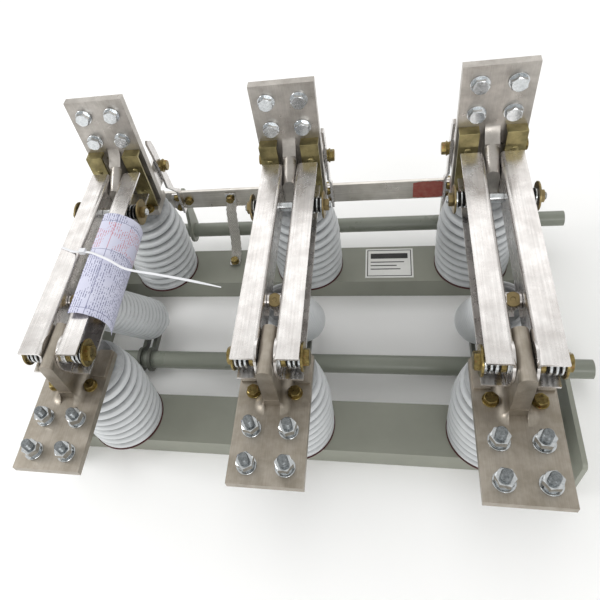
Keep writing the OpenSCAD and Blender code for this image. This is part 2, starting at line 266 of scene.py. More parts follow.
@dataclass(frozen=True)
class PrintedPaper(Finish):
    """Thin coated paper with broken ruled lines along the roll, a border and one red block.

    The lines carry no lettering. The mesh says how far across the sheet each point is.
    """

    rule_mm: float = 3.3
    rule_share: float = 0.42
    word_mm: float = 2.6
    word_from: float = 0.48
    block_mm: float = 26.0
    block_from: float = 0.42
    ink: str = "#4E5180"
    ink_share: float = 0.72
    red: str = "#BC5563"
    red_mm: tuple[float, float] = (158.0, 206.0)
    side_mm: tuple[float, float] = (7.0, 64.0)
    cross_mm: tuple[float, float, float] = (56.0, 155.0, 209.0)
    mark: str = "across"

    def band(self, tree: Tree, source: Socket, start: float, end: float) -> Socket:
        """Return 1 where a length in metres lies between two lengths in millimetres."""
        past = add_node(tree, "ShaderNodeMath", {"operation": "GREATER_THAN", 1: start * MM}, {0: source})
        short = add_node(tree, "ShaderNodeMath", {"operation": "LESS_THAN", 1: end * MM}, {0: source})
        return add_node(
            tree, "ShaderNodeMath", {"operation": "MULTIPLY"}, {0: past.outputs[0], 1: short.outputs[0]}
        ).outputs[0]

    def rules(self, tree: Tree, place: Socket, across: Socket) -> Socket:
        """Return 1 on the ruled lines, broken into words and blocks."""
        settings = {"operation": "MULTIPLY", 1: per_mm(self.rule_mm)}
        count = add_node(tree, "ShaderNodeMath", settings, {0: across})
        wave = add_node(tree, "ShaderNodeMath", {"operation": "FRACT"}, {0: count.outputs[0]})
        settings = {"operation": "LESS_THAN", 1: self.rule_share}
        share = add_node(tree, "ShaderNodeMath", settings, {0: wave.outputs[0]})
        for size, detail, start in (
            (self.word_mm, 1.0, self.word_from), (self.block_mm, 0.0, self.block_from),
        ):
            settings = {"Scale": per_mm(size), "Detail": detail}
            noise = add_node(tree, "ShaderNodeTexNoise", settings, {"Vector": place})
            settings = {"operation": "GREATER_THAN", 1: start}
            kept = add_node(tree, "ShaderNodeMath", settings, {0: noise.outputs["Fac"]})
            links = {0: share.outputs[0], 1: kept.outputs[0]}
            share = add_node(tree, "ShaderNodeMath", {"operation": "MULTIPLY"}, links)
        return share.outputs[0]

    def colour(self, tree: Tree, place: Socket) -> Socket:
        """Return paper white crossed by broken ruled lines, red in one block."""
        plain = super().colour(tree, place)
        along = add_node(tree, "ShaderNodeSeparateXYZ", {}, {0: place}).outputs["Y"]
        across = add_node(tree, "ShaderNodeAttribute", {"attribute_name": self.mark}).outputs["Fac"]
        share = self.rules(tree, place, across)
        borders = [(across, start, 1.0) for start in self.side_mm]
        borders += [(along, start, 0.9) for start in self.cross_mm]
        for source, start, width in borders:
            edge = self.band(tree, source, start, start + width)
            share = add_node(tree, "ShaderNodeMath", {"operation": "MAXIMUM"}, {0: share, 1: edge}).outputs[0]
        settings = {"operation": "MULTIPLY", 1: self.ink_share}
        faint = add_node(tree, "ShaderNodeMath", settings, {0: share})
        zone = self.band(tree, along, *self.red_mm)
        settings = {"data_type": "RGBA", 6: linear(self.ink), 7: linear(self.red)}
        ink = add_node(tree, "ShaderNodeMix", settings, {0: zone})
        links = {0: faint.outputs[0], 6: plain, 7: ink.outputs[2]}
        return add_node(tree, "ShaderNodeMix", {"data_type": "RGBA"}, links).outputs[2]


@dataclass(frozen=True)
class DustAndShadeResin(Finish):
    """Cast resin that a mesh attribute greys with dust and with painted shade, in its grooves and on its
    neck.
    """

    dust_and_shade: str = "#636567"
    patch_mm: float = 9.0
    patch_share: tuple[float, float] = (0.75, 1.1)
    mark: str = "dust_and_shade"

    def colour(self, tree: Tree, place: Socket) -> Socket:
        """Return the resin's colour, greyed by the dust and painted shade that the mesh marks."""
        plain = super().colour(tree, place)
        patches = {"Scale": per_mm(self.patch_mm), "Detail": 4.0}
        patch_noise = add_node(tree, "ShaderNodeTexNoise", patches, {"Vector": place})
        least, most = self.patch_share
        patchy = add_node(
            tree, "ShaderNodeMapRange",
            {"From Min": 0.3, "From Max": 0.7, "To Min": least, "To Max": most}, {0: patch_noise.outputs["Fac"]},
        )
        # Painted shade with dust: the mesh mark greys the grooves and the posts' necks, where shade falls and
        # dust lies.
        dust_and_shade_node = add_node(tree, "ShaderNodeAttribute", {"attribute_name": self.mark})
        share = add_node(
            tree, "ShaderNodeMath",
            {"operation": "MULTIPLY", "use_clamp": True}, {0: dust_and_shade_node.outputs["Fac"], 1: patchy.outputs[0]},
        )
        links = {0: share.outputs[0], 6: plain}
        return add_node(
            tree, "ShaderNodeMix", {"data_type": "RGBA", 7: linear(self.dust_and_shade)}, links
        ).outputs[2]


@dataclass(frozen=True)
class WovenBraid(Finish):
    """Tinned copper wire plaited flat; the plait is drawn at 3 mm so that it shows."""

    plait_mm: float = 3.0
    plait_depth: float = 1.4

    def relief(self, tree: Tree, place: Socket) -> Socket:
        """Return the normal of two crossing sets of strands."""
        heights = []
        for turn in (40.0, -40.0):
            drawn = add_node(
                tree, "ShaderNodeMapping",
                {"Scale": (per_mm(self.plait_mm),) * 3, "Rotation": (0, math.radians(turn), 0)},
                {"Vector": place},
            )
            strands = {"Scale": 0.32, "Distortion": 1.5}
            wave = add_node(tree, "ShaderNodeTexWave", strands, {"Vector": drawn.outputs[0]})
            heights.append(wave.outputs["Fac"])
        top = add_node(tree, "ShaderNodeMath", {"operation": "MAXIMUM"}, {0: heights[0], 1: heights[1]})
        depth = {"Strength": 1.0, "Distance": self.plait_depth * MM}
        bump = add_node(tree, "ShaderNodeBump", depth, {"Height": top.outputs[0]})
        return bump.outputs[0]


class Finishes:
    """The finishes of this switch, each named for the real material."""

    # Steel sheet under a grey-green stove enamel: an even satin film with a fine orange-peel skin.
    FRAME_ENAMEL = Finish(
        "stove_enamel_grey_green", "#8E9084", "#7F8177", rough=0.42, rough_swing=0.06, blotch_mm=90,
        grain_mm=(2.2, 2.2, 2.2), grain_depth=0.05, speck="#A5A499", speck_mm=14, speck_from=0.7,
    )
    # The shafts' enamel is a little glossier, so that a long highlight runs along them.
    SHAFT_ENAMEL = Finish(
        "stove_enamel_shaft", "#868A7F", "#767A71", rough=0.3, rough_swing=0.05, blotch_mm=70,
        grain_mm=(2.5, 2.5, 2.5), grain_depth=0.04,
    )
    # Rolled copper bar under dull tin: warm grey cloudy patches, with faint rolling lines.
    TIN_PLATE = Finish(
        "tin_plated_copper_bar", "#ABA398", "#8F877A", metallic=0.85, rough=0.42, rough_swing=0.09,
        blotch_mm=20, blotch_share=0.85, grain_mm=(0.9, 40, 0.9), grain_depth=0.008, grain_tint=0.08,
        speck="#777067", speck_mm=6, speck_from=0.69,
    )
    # The upright bars wear the same tin, coloured lighter and greyer: painted light on their upright faces.
    UPRIGHT_TIN_LIT = Finish(
        "tin_plated_copper_bar_lit", "#B9B4AE", "#95908A", metallic=0.85, rough=0.36, rough_swing=0.1,
        blotch_mm=24, blotch_share=0.85, grain_mm=(0.9, 0.9, 40), grain_depth=0.008, grain_tint=0.08,
        speck="#6A645D", speck_mm=7, speck_from=0.68,
    )
    # Drawn copper channel under bright tin: long streaks run with the drawing.
    BLADE_TIN = Finish(
        "tin_plated_copper_channel", "#E4E1DF", "#BDB8B5", metallic=0.95, rough=0.27, rough_swing=0.07,
        blotch_mm=30, blotch_share=0.7, grain_mm=(2.6, 120, 2.6), grain_depth=0.006, grain_tint=0.1,
        speck="#A39D99", speck_mm=12, speck_from=0.72,
    )
    # The cross bar's tin is bright, with streaks along its own length.
    BAR_TIN = Finish(
        "tin_plated_cross_bar", "#E2DED8", "#C2BCB4", metallic=0.9, rough=0.34, rough_swing=0.08,
        blotch_mm=34, blotch_share=0.7, grain_mm=(120, 2.4, 2.4), grain_depth=0.006, grain_tint=0.1,
        speck="#A19B92", speck_mm=10, speck_from=0.72,
    )
    # Bolts under clear blue-white zinc: cold, bright and mirror-like on the flats.
    BRIGHT_ZINC = Finish(
        "bright_zinc_plate", "#D9DCDE", "#A6ABAE", metallic=1.0, rough=0.2, rough_swing=0.07, blotch_mm=4,
        blotch_share=0.6, grain_mm=(0.8, 0.8, 0.8), grain_depth=0.006,
    )
    # The bolts' ends are coloured darker than their nuts.
    DARK_THREAD = Finish(
        "darker_zinc_thread", "#8C9092", "#5E6264", metallic=1.0, rough=0.32, rough_swing=0.08, blotch_mm=3,
        blotch_share=0.8, grain_mm=(0.8, 0.8, 0.8), grain_depth=0.01,
    )
    # Steel under yellow chromate on zinc: olive brown, with reddish and green clouds.
    YELLOW_ZINC = Finish(
        "yellow_chromate_zinc", "#9A8A58", "#665534", metallic=0.95, rough=0.32, rough_swing=0.09,
        blotch_mm=6,
        blotch_share=0.9, grain_mm=(1, 1, 1), grain_depth=0.01, speck="#9A6246", speck_mm=5, speck_from=0.6,
    )
    # The brackets' chromate is older and more olive than the bolts'.
    OLIVE_ZINC = Finish(
        "olive_chromate_zinc", "#A1966B", "#6F6748", metallic=0.9, rough=0.36, rough_swing=0.08, blotch_mm=16,
        blotch_share=0.9, grain_mm=(1.5, 1.5, 14), grain_depth=0.01, speck="#A3966A", speck_mm=8,
        speck_from=0.66,
    )
    # Turned brass, dulled by handling.
    BRASS = Finish(
        "dull_turned_brass", "#94845F", "#6E5E43", metallic=1.0, rough=0.36, rough_swing=0.08, blotch_mm=6,
        grain_mm=(0.7, 0.7, 0.7), grain_depth=0.01,
    )
    # Spring steel, oil-blackened.
    BLACK_STEEL = Finish(
        "oil_blackened_spring_steel", "#2A2927", "#1B1A19", metallic=0.9, rough=0.38, rough_swing=0.08,
        blotch_mm=8, grain_mm=(1, 1, 1), grain_depth=0.01,
    )
    # Forged steel cranks in dark grey-green enamel.
    CRANK_ENAMEL = Finish(
        "stove_enamel_dark", "#5D5F57", "#4B4D47", rough=0.4, rough_swing=0.07, blotch_mm=18,
        grain_mm=(2, 2, 2), grain_depth=0.04,
    )
    # Cast epoxy resin: cool white with a soft sheen, greyed in the grooves and on the neck by dust and by
    # painted shade.
    EPOXY = DustAndShadeResin(
        "cast_epoxy_white", "#D3D6D8", "#C6C9CC", rough=0.34, rough_swing=0.05, blotch_mm=60,
        grain_mm=(3, 3, 3), grain_depth=0.02, coat=0.25, coat_rough=0.3,
    )
    # Natural rubber gasket, dark red and matt.
    RED_RUBBER = Finish(
        "red_rubber", "#4E2425", "#3C1A1A", rough=0.75, rough_swing=0.05, blotch_mm=12,
        grain_mm=(0.8, 0.8, 0.8), grain_depth=0.05,
    )
    # Painted aluminium plate, matt white, with a dark ruled border and no lettering.
    PLATE_WHITE = Finish(
        "white_label_plate", "#E9E9E6", "#DCDCD8", rough=0.45, rough_swing=0.05, blotch_mm=25,
        grain_mm=(1, 1, 1), grain_depth=0.01,
    )
    PLATE_INK = Finish(
        "label_ink_black", "#1C1C1C", "#262626", rough=0.5, rough_swing=0.04, blotch_mm=20,
        grain_mm=(1, 1, 1), grain_depth=0.01,
    )
    # Red marking crayon rubbed on the cross bar.
    RED_MARK = Finish(
        "red_marking_paint", "#C07A70", "#B4594F", metallic=0.6, rough=0.42, rough_swing=0.08, blotch_mm=12,
        blotch_share=0.9, grain_mm=(14, 1, 1), grain_depth=0.02, grain_tint=0.1,
    )
    # Nylon cable tie, natural white, slightly glossy.
    NYLON = Finish(
        "natural_nylon", "#E6E7EA", "#DADCE2", rough=0.35, rough_swing=0.04, blotch_mm=20,
        grain_mm=(1.2, 1.2, 1.2), grain_depth=0.01,
    )
    PAPER = PrintedPaper(
        "printed_form_paper", "#D3D4E6", "#C6C8E0", rough=0.6, rough_swing=0.05, blotch_mm=35,
        grain_mm=(1.4, 1.4, 1.4), grain_depth=0.02,
    )
    BRAID = WovenBraid(
        "tinned_copper_braid", "#E0DDD6", "#B3AFA6", metallic=0.35, rough=0.5, rough_swing=0.08, blotch_mm=5,
    )


# -------------------------------------------------------------- mesh building


class Mould:
    """Gathers shaped solids into one mesh, in millimetres of the row's frame."""

    def __init__(self, name: str) -> None:
        """Start an empty mould.

        Args:
            name: The finished piece's name.
        """
        self.name = name
        self.bm = bmesh.new()

    def loft(self, rings: Sequence[Sequence[Vector]], closed: bool = True, ends: bool = True) -> None:
        """Skin a row of rings that all have the same number of points.

        Args:
            rings: The rings, each a list of points in millimetres.
            closed: Whether each ring closes on itself.
            ends: Whether the first and last rings are filled.
        """
        rows = [[self.bm.verts.new(p * MM) for p in ring] for ring in rings]
        count = len(rows[0])
        for a, b in zip(rows, rows[1:]):
            for i in range(count if closed else count - 1):
                j = (i + 1) % count
                self.bm.faces.new((a[i], a[j], b[j], b[i]))
        if ends:
            self.bm.faces.new(tuple(reversed(rows[0])))
            self.bm.faces.new(tuple(rows[-1]))

    def turned(
        self, profile: Sequence[tuple[float, float]], at: Vector, way: Vector, sides: int = 36,
        ends: bool = True,
    ) -> None:
        """Turn a profile about an axis.

        Args:
            profile: Radius and distance along the axis, in millimetres, from one end to the other.
            at: The axis's starting point.
            way: The axis's direction.
            sides: The facets round.
            ends: Whether the first and last rings are filled.
        """
        turn = standing(way)
        rings = []
        for radius, along in profile:
            ring = [Vector((radius * math.cos(t), radius * math.sin(t), along)) for t in circle(sides)]
            rings.append([at + turn @ p for p in ring])
        self.loft(rings, ends=ends)

    def ring(
        self, inner: float, outer: float, depth: float, at: Vector, way: Vector, edge: float = 0.3
    ) -> None:
        """Turn a flat washer with broken edges.

        Args:
            inner: The bore's radius.
            outer: The outside radius.
            depth: The thickness.
            at: The middle of the face it starts from.
            way: The axis's direction.
            edge: The width of each broken edge.
        """
        profile = [
            (inner, 0), (outer - edge, 0), (outer, edge), (outer, depth - edge), (outer - edge, depth),
            (inner, depth), (inner, 0),
        ]
        self.turned(profile, at, way, ends=False)

    def hexagon(
        self, flats: float, depth: float, at: Vector, way: Vector, spin: float = 0.0, both: bool = False
    ) -> None:
        """Shape a hexagon head or nut with its turned corner chamfers.

        Args:
            flats: The width across the flats.
            depth: The height of the head.
            at: The middle of the face it starts from.
            way: The way that it stands up.
            spin: The turn about its axis, in degrees.
            both: Whether the starting face is chamfered too, as on a nut.
        """
        turn = standing(way)
        sides = 48
        inner = flats / 2 * 0.965
        rings: list[list[Vector]] = [[], [], [], []]
        for t in circle(sides):
            corner = flats / 2 / math.cos((t + math.pi / 6) % (math.pi / 3) - math.pi / 6)
            drop = (corner - inner) * 0.55
            foot = [(inner, 0.0), (corner, drop)] if both else [(corner, 0.0), (corner, 0.01)]
            angle = t + math.radians(spin)
            for ring, (radius, along) in zip(rings, [*foot, (corner, depth - drop), (inner, depth)]):
                ring.append(at + turn @ Vector((radius * math.cos(angle), radius * math.sin(angle), along)))
        self.loft(rings)

    def bolt(self, size: "BoltSize", at: Vector, way: Vector, spin: float) -> None:
        """Seat a washer and a bolt head on a face.

        Args:
            size: The bolt's sizes.
            at: The middle of the face under the washer.
            way: The way that the head faces.
            spin: The head's turn about its axis, in degrees.
        """
        self.ring(size.bore, size.washer, size.washer_t, at, way)
        self.hexagon(size.flats, size.head, at + way * size.washer_t, way, spin)

    def spring_washer(self, radius: float, at: Vector, way: Vector, spin: float = 0.0) -> None:
        """Coil one split turn of square wire.

        Args:
            radius: The bolt's radius.
            at: The middle of the face it starts from.
            way: The axis's direction.
            spin: Where the split is, in degrees.
        """
        turn = standing(way)
        wire, steps, split, rise = 2.6, 32, 12, 0.7
        inner = radius + 0.3
        rings = []
        for i in range(steps + 1):
            angle = math.radians(spin + split / 2 + (360 - split) * i / steps)
            lift = rise * i / steps
            shape = [(inner, lift), (inner + wire, lift), (inner + wire, lift + wire), (inner, lift + wire)]
            out = Vector((math.cos(angle), math.sin(angle), 0))
            rings.append([at + turn @ (out * r + Vector((0, 0, h))) for r, h in shape])
        self.loft(rings)

    def thread(self, radius: float, length: float, at: Vector, way: Vector, pitch: float = 1.75) -> None:
        """Turn a bolt's end: grooves like its thread and a chamfered tip.

        Args:
            radius: The bolt's radius.
            length: How far it stands out.
            at: The middle of the face it starts from.
            way: The way that it points.
            pitch: The spacing of the grooves.
        """
        profile = [(radius * 0.9, 0.0)]
        along = pitch * 0.3
        while along < length - pitch:
            profile += [(radius, along), (radius, along + pitch * 0.25), (radius * 0.9, along + pitch * 0.65)]
            along += pitch
        profile += [(radius, length - 1.0), (radius - 0.9, length)]
        self.turned(profile, at, way, 32)

    def block(self, low: Sequence[float], high: Sequence[float]) -> None:
        """Add a square block between two corners."""
        (x0, y0, z0), (x1, y1, z1) = low, high
        corners = ((x0, y0), (x1, y0), (x1, y1), (x0, y1))
        self.loft([[Vector((x, y, z)) for x, y in corners] for z in (z0, z1)])

    def plate(self, outline: Sequence[tuple[float, float]], start: float, depth: float, axis: Axis) -> None:
        """Push an outline through a depth along X, Y or Z.

        Args:
            outline: The corners in the two other axes, in order.
            start: Where the plate starts along its axis.
            depth: Its thickness.
            axis: The axis that it is pushed along.
        """
        rings = []
        for along in (start, start + depth):
            if axis is Axis.X:
                rings.append([Vector((along, a, b)) for a, b in outline])
            elif axis is Axis.Y:
                rings.append([Vector((a, along, b)) for a, b in outline])
            else:
                rings.append([Vector((a, b, along)) for a, b in outline])
        self.loft(rings)

    def soften(self, width: float, segments: int = 2, above: float = 35.0) -> None:
        """Round every edge that turns by more than an angle.

        Args:
            width: The width of the rounding.
            segments: The facets across it.
            above: The least angle, in degrees.
        """
        limit = math.radians(above)
        edges = [e for e in self.bm.edges if e.is_manifold and e.calc_face_angle(0) > limit]
        bmesh.ops.bevel(
            self.bm, geom=edges, offset=width * MM, offset_type="OFFSET", segments=segments, profile=0.5,
            affect="EDGES", clamp_overlap=False,
        )

    def piece(
        self, finish: Finish, body: str, slot: str, replaces: Sequence[str] = (), sharp: float = 24.0
    ) -> bpy.types.Object:
        """Cast the mesh as one object that rides on a body.

        Args:
            finish: The finish that it wears.
            body: The CAD body that carries it, or nothing where the piece bends between two.
            slot: The record's material slot; not used.
            replaces: The CAD nodes that it stands for.
            sharp: Edges turning by more than this many degrees stay crisp.

        Returns:
            The new object.
        """
        bmesh.ops.recalc_face_normals(self.bm, faces=self.bm.faces)
        for edge in self.bm.edges:
            edge.smooth = not (edge.is_manifold and edge.calc_face_angle(0) > math.radians(sharp))
        for face in self.bm.faces:
            face.smooth = True
        mesh = bpy.data.meshes.new(self.name)
        self.bm.to_mesh(mesh)
        self.bm.free()
        mesh.materials.append(finish.build())
        item = bpy.data.objects.new(self.name, mesh)
        bpy.context.scene.collection.objects.link(item)
        if body:
            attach(item, body)
        if replaces:
            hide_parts(*replaces)
        LOG.info("%s: %d faces on %s", self.name, len(mesh.polygons), body or "two bodies")
        return item


def standing(way: Vector) -> Matrix:
    """Return the turn that leads Z to a direction."""
    return Axis.Z.way.rotation_difference(way.normalized()).to_matrix()


def circle(count: int) -> list[float]:
    """Return that many even angles round a turn."""
    return [2 * math.pi * i / count for i in range(count)]


@dataclass(frozen=True)
class BoltSize:
    """A bolt's sizes: its washer's bore, outside radius and thickness, its head's flats and height."""

    bore: float
    washer: float
    washer_t: float
    flats: float
    head: float


POST_BOLT = BoltSize(8.4, 15, 2.5, 24, 10)
M8 = BoltSize(4.2, 8.5, 1.4, 13, 5.5)
M8_NARROW = BoltSize(4.2, 8, 1.4, 13, 5.5)
M8_WIDE = BoltSize(4.2, 9.0, 1.4, 13, 5.5)
FIXING = BoltSize(4.2, 9.3, 1.4, 14, 6)
M6 = BoltSize(3.2, 6.4, 1.2, 10.5, 4.6)


def dress(node: str, finish: Finish) -> None:
    """Give a CAD node its finish."""
    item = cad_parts[node]
    item.data.materials.clear()
    item.data.materials.append(finish.build())


def broken_edges(node: str, finish: Finish, body: str, slot: str, width: float) -> bpy.types.Object:
    """Stand a copy with rounded edges in for a CAD node.

    Args:
        node: The CAD node.
        finish: The copy's finish.
        body: The body that carries it.
        slot: The record's material slot.
        width: The rounding's width in millimetres.

    Returns:
        The new object.
    """
    mould = Mould(node + ".edged")
    mould.bm.from_mesh(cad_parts[node].data)
    bmesh.ops.remove_doubles(mould.bm, verts=mould.bm.verts, dist=0.002 * MM)
    dress(node, finish)
    item = mould.piece(finish, body, slot, [node])
    edge = item.modifiers.new("broken_edges", "BEVEL")
    edge.width = width * MM
    edge.segments = 2
    edge.limit_method = "ANGLE"
    edge.angle_limit = math.radians(38)
    edge.use_clamp_overlap = True
    edge.harden_normals = False
    weigh = item.modifiers.new("flat_faces", "WEIGHTED_NORMAL")
    weigh.keep_sharp = False
    weigh.weight = 100
    return item


# ------------------------------------------------------------- sub-assemblies


@dataclass
class BaseFrame:
    """The two channels between side plates, with the shaft bushes and the name plate."""

    plate_border: float = 3.0
    rule: float = 1.5
    ink_t: float = 0.15
    inset: float = 6.0
    heading: tuple[float, float] = (20.0, 8.0)
    bars: tuple[float, float, float] = (0.9, 0.7, 0.8)
    bar_from: float = 29.0
    bar_pitch: float = 8.0
    bar_h: float = 2.0

    def build(self) -> None:
        """Build and dress the frame."""
        for node, width in (("front_channel", 1.6), ("rear_channel", 1.6), ("side_plates", 0.8)):
            broken_edges(node, Finishes.FRAME_ENAMEL, "frame", "frame_paint", width)
        dress("shaft_bushes", Finishes.CRANK_ENAMEL)
        dress("name_plate", Finishes.PLATE_WHITE)
        self.name_plate()

    def name_plate(self) -> None:
        """Lay a plain ruled border and bars on the name plate."""
        low, high = box_mm("name_plate")
        b, r = self.plate_border, self.rule
        x0, x1, y0, y1 = low.x + b, high.x - b, low.y + b, high.y - b
        left, right = x0 + self.inset, x1 - self.inset
        blocks = [
            (x0, y0, x1, y0 + r), (x0, y1 - r, x1, y1), (x0, y0 + r, x0 + r, y1 - r),
            (x1 - r, y0 + r, x1, y1 - r), (left, y1 - self.heading[0], right, y1 - self.heading[1]),
        ]
        for i, share in enumerate(self.bars):
            y = y1 - self.bar_from - i * self.bar_pitch
            blocks.append((left, y, left + (right - left) * share, y + self.bar_h))
        ink = Mould("name_plate_rules")
        for start_x, start_y, end_x, end_y in blocks:
            ink.block((start_x, start_y, high.z), (end_x, end_y, high.z + self.ink_t))
        ink.piece(Finishes.PLATE_INK, "frame", "label")


@dataclass
class Posts:
    """Six ribbed resin posts on red gaskets, held by a bolt each from under the channel."""

    groove: float = 6.0
    taper: float = 15.0
    taper_from: float = 90.0
    taper_run: float = 70.0
    neck_from: float = 138.0
    neck_run: float = 26.0
    channel_t: float = 5.0

    def build(self) -> None:
        """Dress the posts and gaskets, and set the bolts."""
        for node in ("posts_front", "posts_rear"):
            self.resin(node)
            self.bolts(node)
        dress("post_gaskets", Finishes.RED_RUBBER)

    def axes(self, node: str) -> list[Vector]:
        """Return the points where the posts' axes meet their gaskets."""
        low, high = box_mm(node)
        radius = (high.y - low.y) / 2
        span = (high.x - low.x) / 2 - radius
        middle = (low.x + high.x) / 2
        return [Vector((middle + i * span, (low.y + high.y) / 2, low.z)) for i in (-1, 0, 1)]

    def resin(self, node: str) -> None:
        """Stand copies in for the posts, with dust and painted shade noted in their grooves and on their
        necks.

        Args:
            node: The CAD node that holds a row of posts.
        """
        low, high = box_mm(node)
        radius = (high.y - low.y) / 2
        axes = self.axes(node)
        mould = Mould(node + ".dust_and_shade_marked")
        mould.bm.from_mesh(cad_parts[node].data)
        layer = mould.bm.verts.layers.float.new(Finishes.EPOXY.mark)
        for vert in mould.bm.verts:
            at = vert.co / MM
            reach = min(math.hypot(at.x - axis.x, at.y - axis.y) for axis in axes)
            up = at.z - low.z
            crest = radius - self.taper * (max(0.0, up - self.taper_from) / self.taper_run) ** 1.4
            depth = min(1.0, max(0.0, (crest - reach) / self.groove))
            neck = min(1.0, max(0.0, (up - self.neck_from) / self.neck_run))
            # The mark is painted shade with dust: deepest in the grooves, and on the neck under the pad.
            vert[layer] = max(0.9 * depth**1.2, 0.95 * neck)
        mould.piece(Finishes.EPOXY, "frame", "insulator", [node])

    def bolts(self, node: str) -> None:
        """Set a bolt head and washer under the channel below each post.

        Args:
            node: The CAD node that holds a row of posts.
        """
        web = box_mm("front_channel")[1].z - self.channel_t
        mould = Mould(node + "_bolts")
        for i, axis in enumerate(self.axes(node)):
            mould.bolt(POST_BOLT, Vector((axis.x, axis.y, web)), Axis.DOWN.way, 17.0 * i)
        mould.piece(Finishes.BRIGHT_ZINC, "frame", "bright_steel")


@dataclass
class FrontTerminals:
    """Flat front pads with their ribs, terminal bolts and fixing bolts."""

    flats: float = 19.0
    bolt_r: float = 6.0
    hole_pitch: float = 45.0
    hole_edge: float = 22.5
    pad_t: float = 10.0
    fixing_x: float = 26.0
    fixing_y: float = -9.0

    def build(self) -> None:
        """Build the three front terminals."""
        for pole in POLES:
            node = f"front_terminal_{pole}"
            broken_edges(node, Finishes.TIN_PLATE, "frame", "tin_plate", 0.8)
            self.bolts(pole, node)
            self.fixings(pole, node)
        broken_edges("step_plates", Finishes.TIN_PLATE, "frame", "tin_plate", 0.5)

    def bolts(self, pole: str, node: str) -> None:
        """Stand four bolts in a pad, nuts uppermost.

        Args:
            pole: The pole's name.
            node: The terminal's CAD node.
        """
        low, middle = box_mm(node)[0], middle_x(node)
        top, under = low.z + self.pad_t, low.z
        chance = random.Random(7 + POLES.index(pole))
        mould, ends = Mould(f"front_bolts_{pole}"), Mould(f"front_bolt_ends_{pole}")
        for dx in (-1, 1):
            for row in (0, 1):
                y = low.y + self.hole_edge + row * self.hole_pitch
                spot = Vector((middle + dx * self.hole_pitch / 2, y, 0))
                upper, lower = spot + Vector((0, 0, top)), spot + Vector((0, 0, under))
                nut_side(mould, ends, upper, Axis.Z.way, self.bolt_r, self.flats, chance)
                head_side(mould, lower, Axis.DOWN.way, self.bolt_r, self.flats, chance)
                mould.turned([(self.bolt_r, 0), (self.bolt_r, top - under)], lower, Axis.Z.way, 24)
        mould.piece(Finishes.BRIGHT_ZINC, "frame", "bright_steel", sharp=18)
        ends.piece(Finishes.DARK_THREAD, "frame", "bright_steel", sharp=18)

    def fixings(self, pole: str, node: str) -> None:
        """Stand two yellow bolts beside the rib's foot.

        Args:
            pole: The pole's name.
            node: The terminal's CAD node.
        """
        low, middle = box_mm(node)[0], middle_x(node)
        chance = random.Random(17 + POLES.index(pole))
        mould = Mould(f"front_fixings_{pole}")
        for side in SIDES:
            spot = Vector((middle + side * self.fixing_x, self.fixing_y, low.z + self.pad_t))
            mould.bolt(FIXING, spot, Axis.Z.way, chance.uniform(0, 60))
        mould.piece(Finishes.YELLOW_ZINC, "frame", "yellow_zinc")


def nut_side(
    mould: Mould, ends: Mould, at: Vector, way: Vector, radius: float, flats: float, chance: random.Random
) -> None:
    """Stack a washer, a spring washer, a nut and the bolt's end.

    Args:
        mould: The mould that takes the washers and the nut.
        ends: The mould that takes the bolt's end.
        at: The middle of the face under the washer.
        way: The way that the bolt points.
        radius: The bolt's radius.
        flats: The nut's width across its flats.
        chance: Gives each nut its own turn.
    """
    mould.ring(radius + 0.4, radius * 2.0, 2.4, at, way)
    mould.spring_washer(radius, at + way * 2.4, way, chance.uniform(0, 360))
    mould.hexagon(flats, radius * 1.6, at + way * 5.9, way, chance.uniform(0, 60), both=True)
    ends.thread(radius, chance.uniform(9.0, 11.5), at + way * (5.8 + radius * 1.6), way)


def head_side(
    mould: Mould, at: Vector, way: Vector, radius: float, flats: float, chance: random.Random
) -> None:
    """Stack a washer and a bolt head.

    Args:
        mould: The mould that takes them.
        at: The middle of the face under the washer.
        way: The way that the head faces.
        radius: The bolt's radius.
        flats: The head's width across its flats.
        chance: Gives each head its own turn.
    """
    mould.ring(radius + 0.4, radius * 2.05, 2.4, at, way)
    mould.hexagon(flats, radius * 1.25, at + way * 2.4, way, chance.uniform(0, 60))


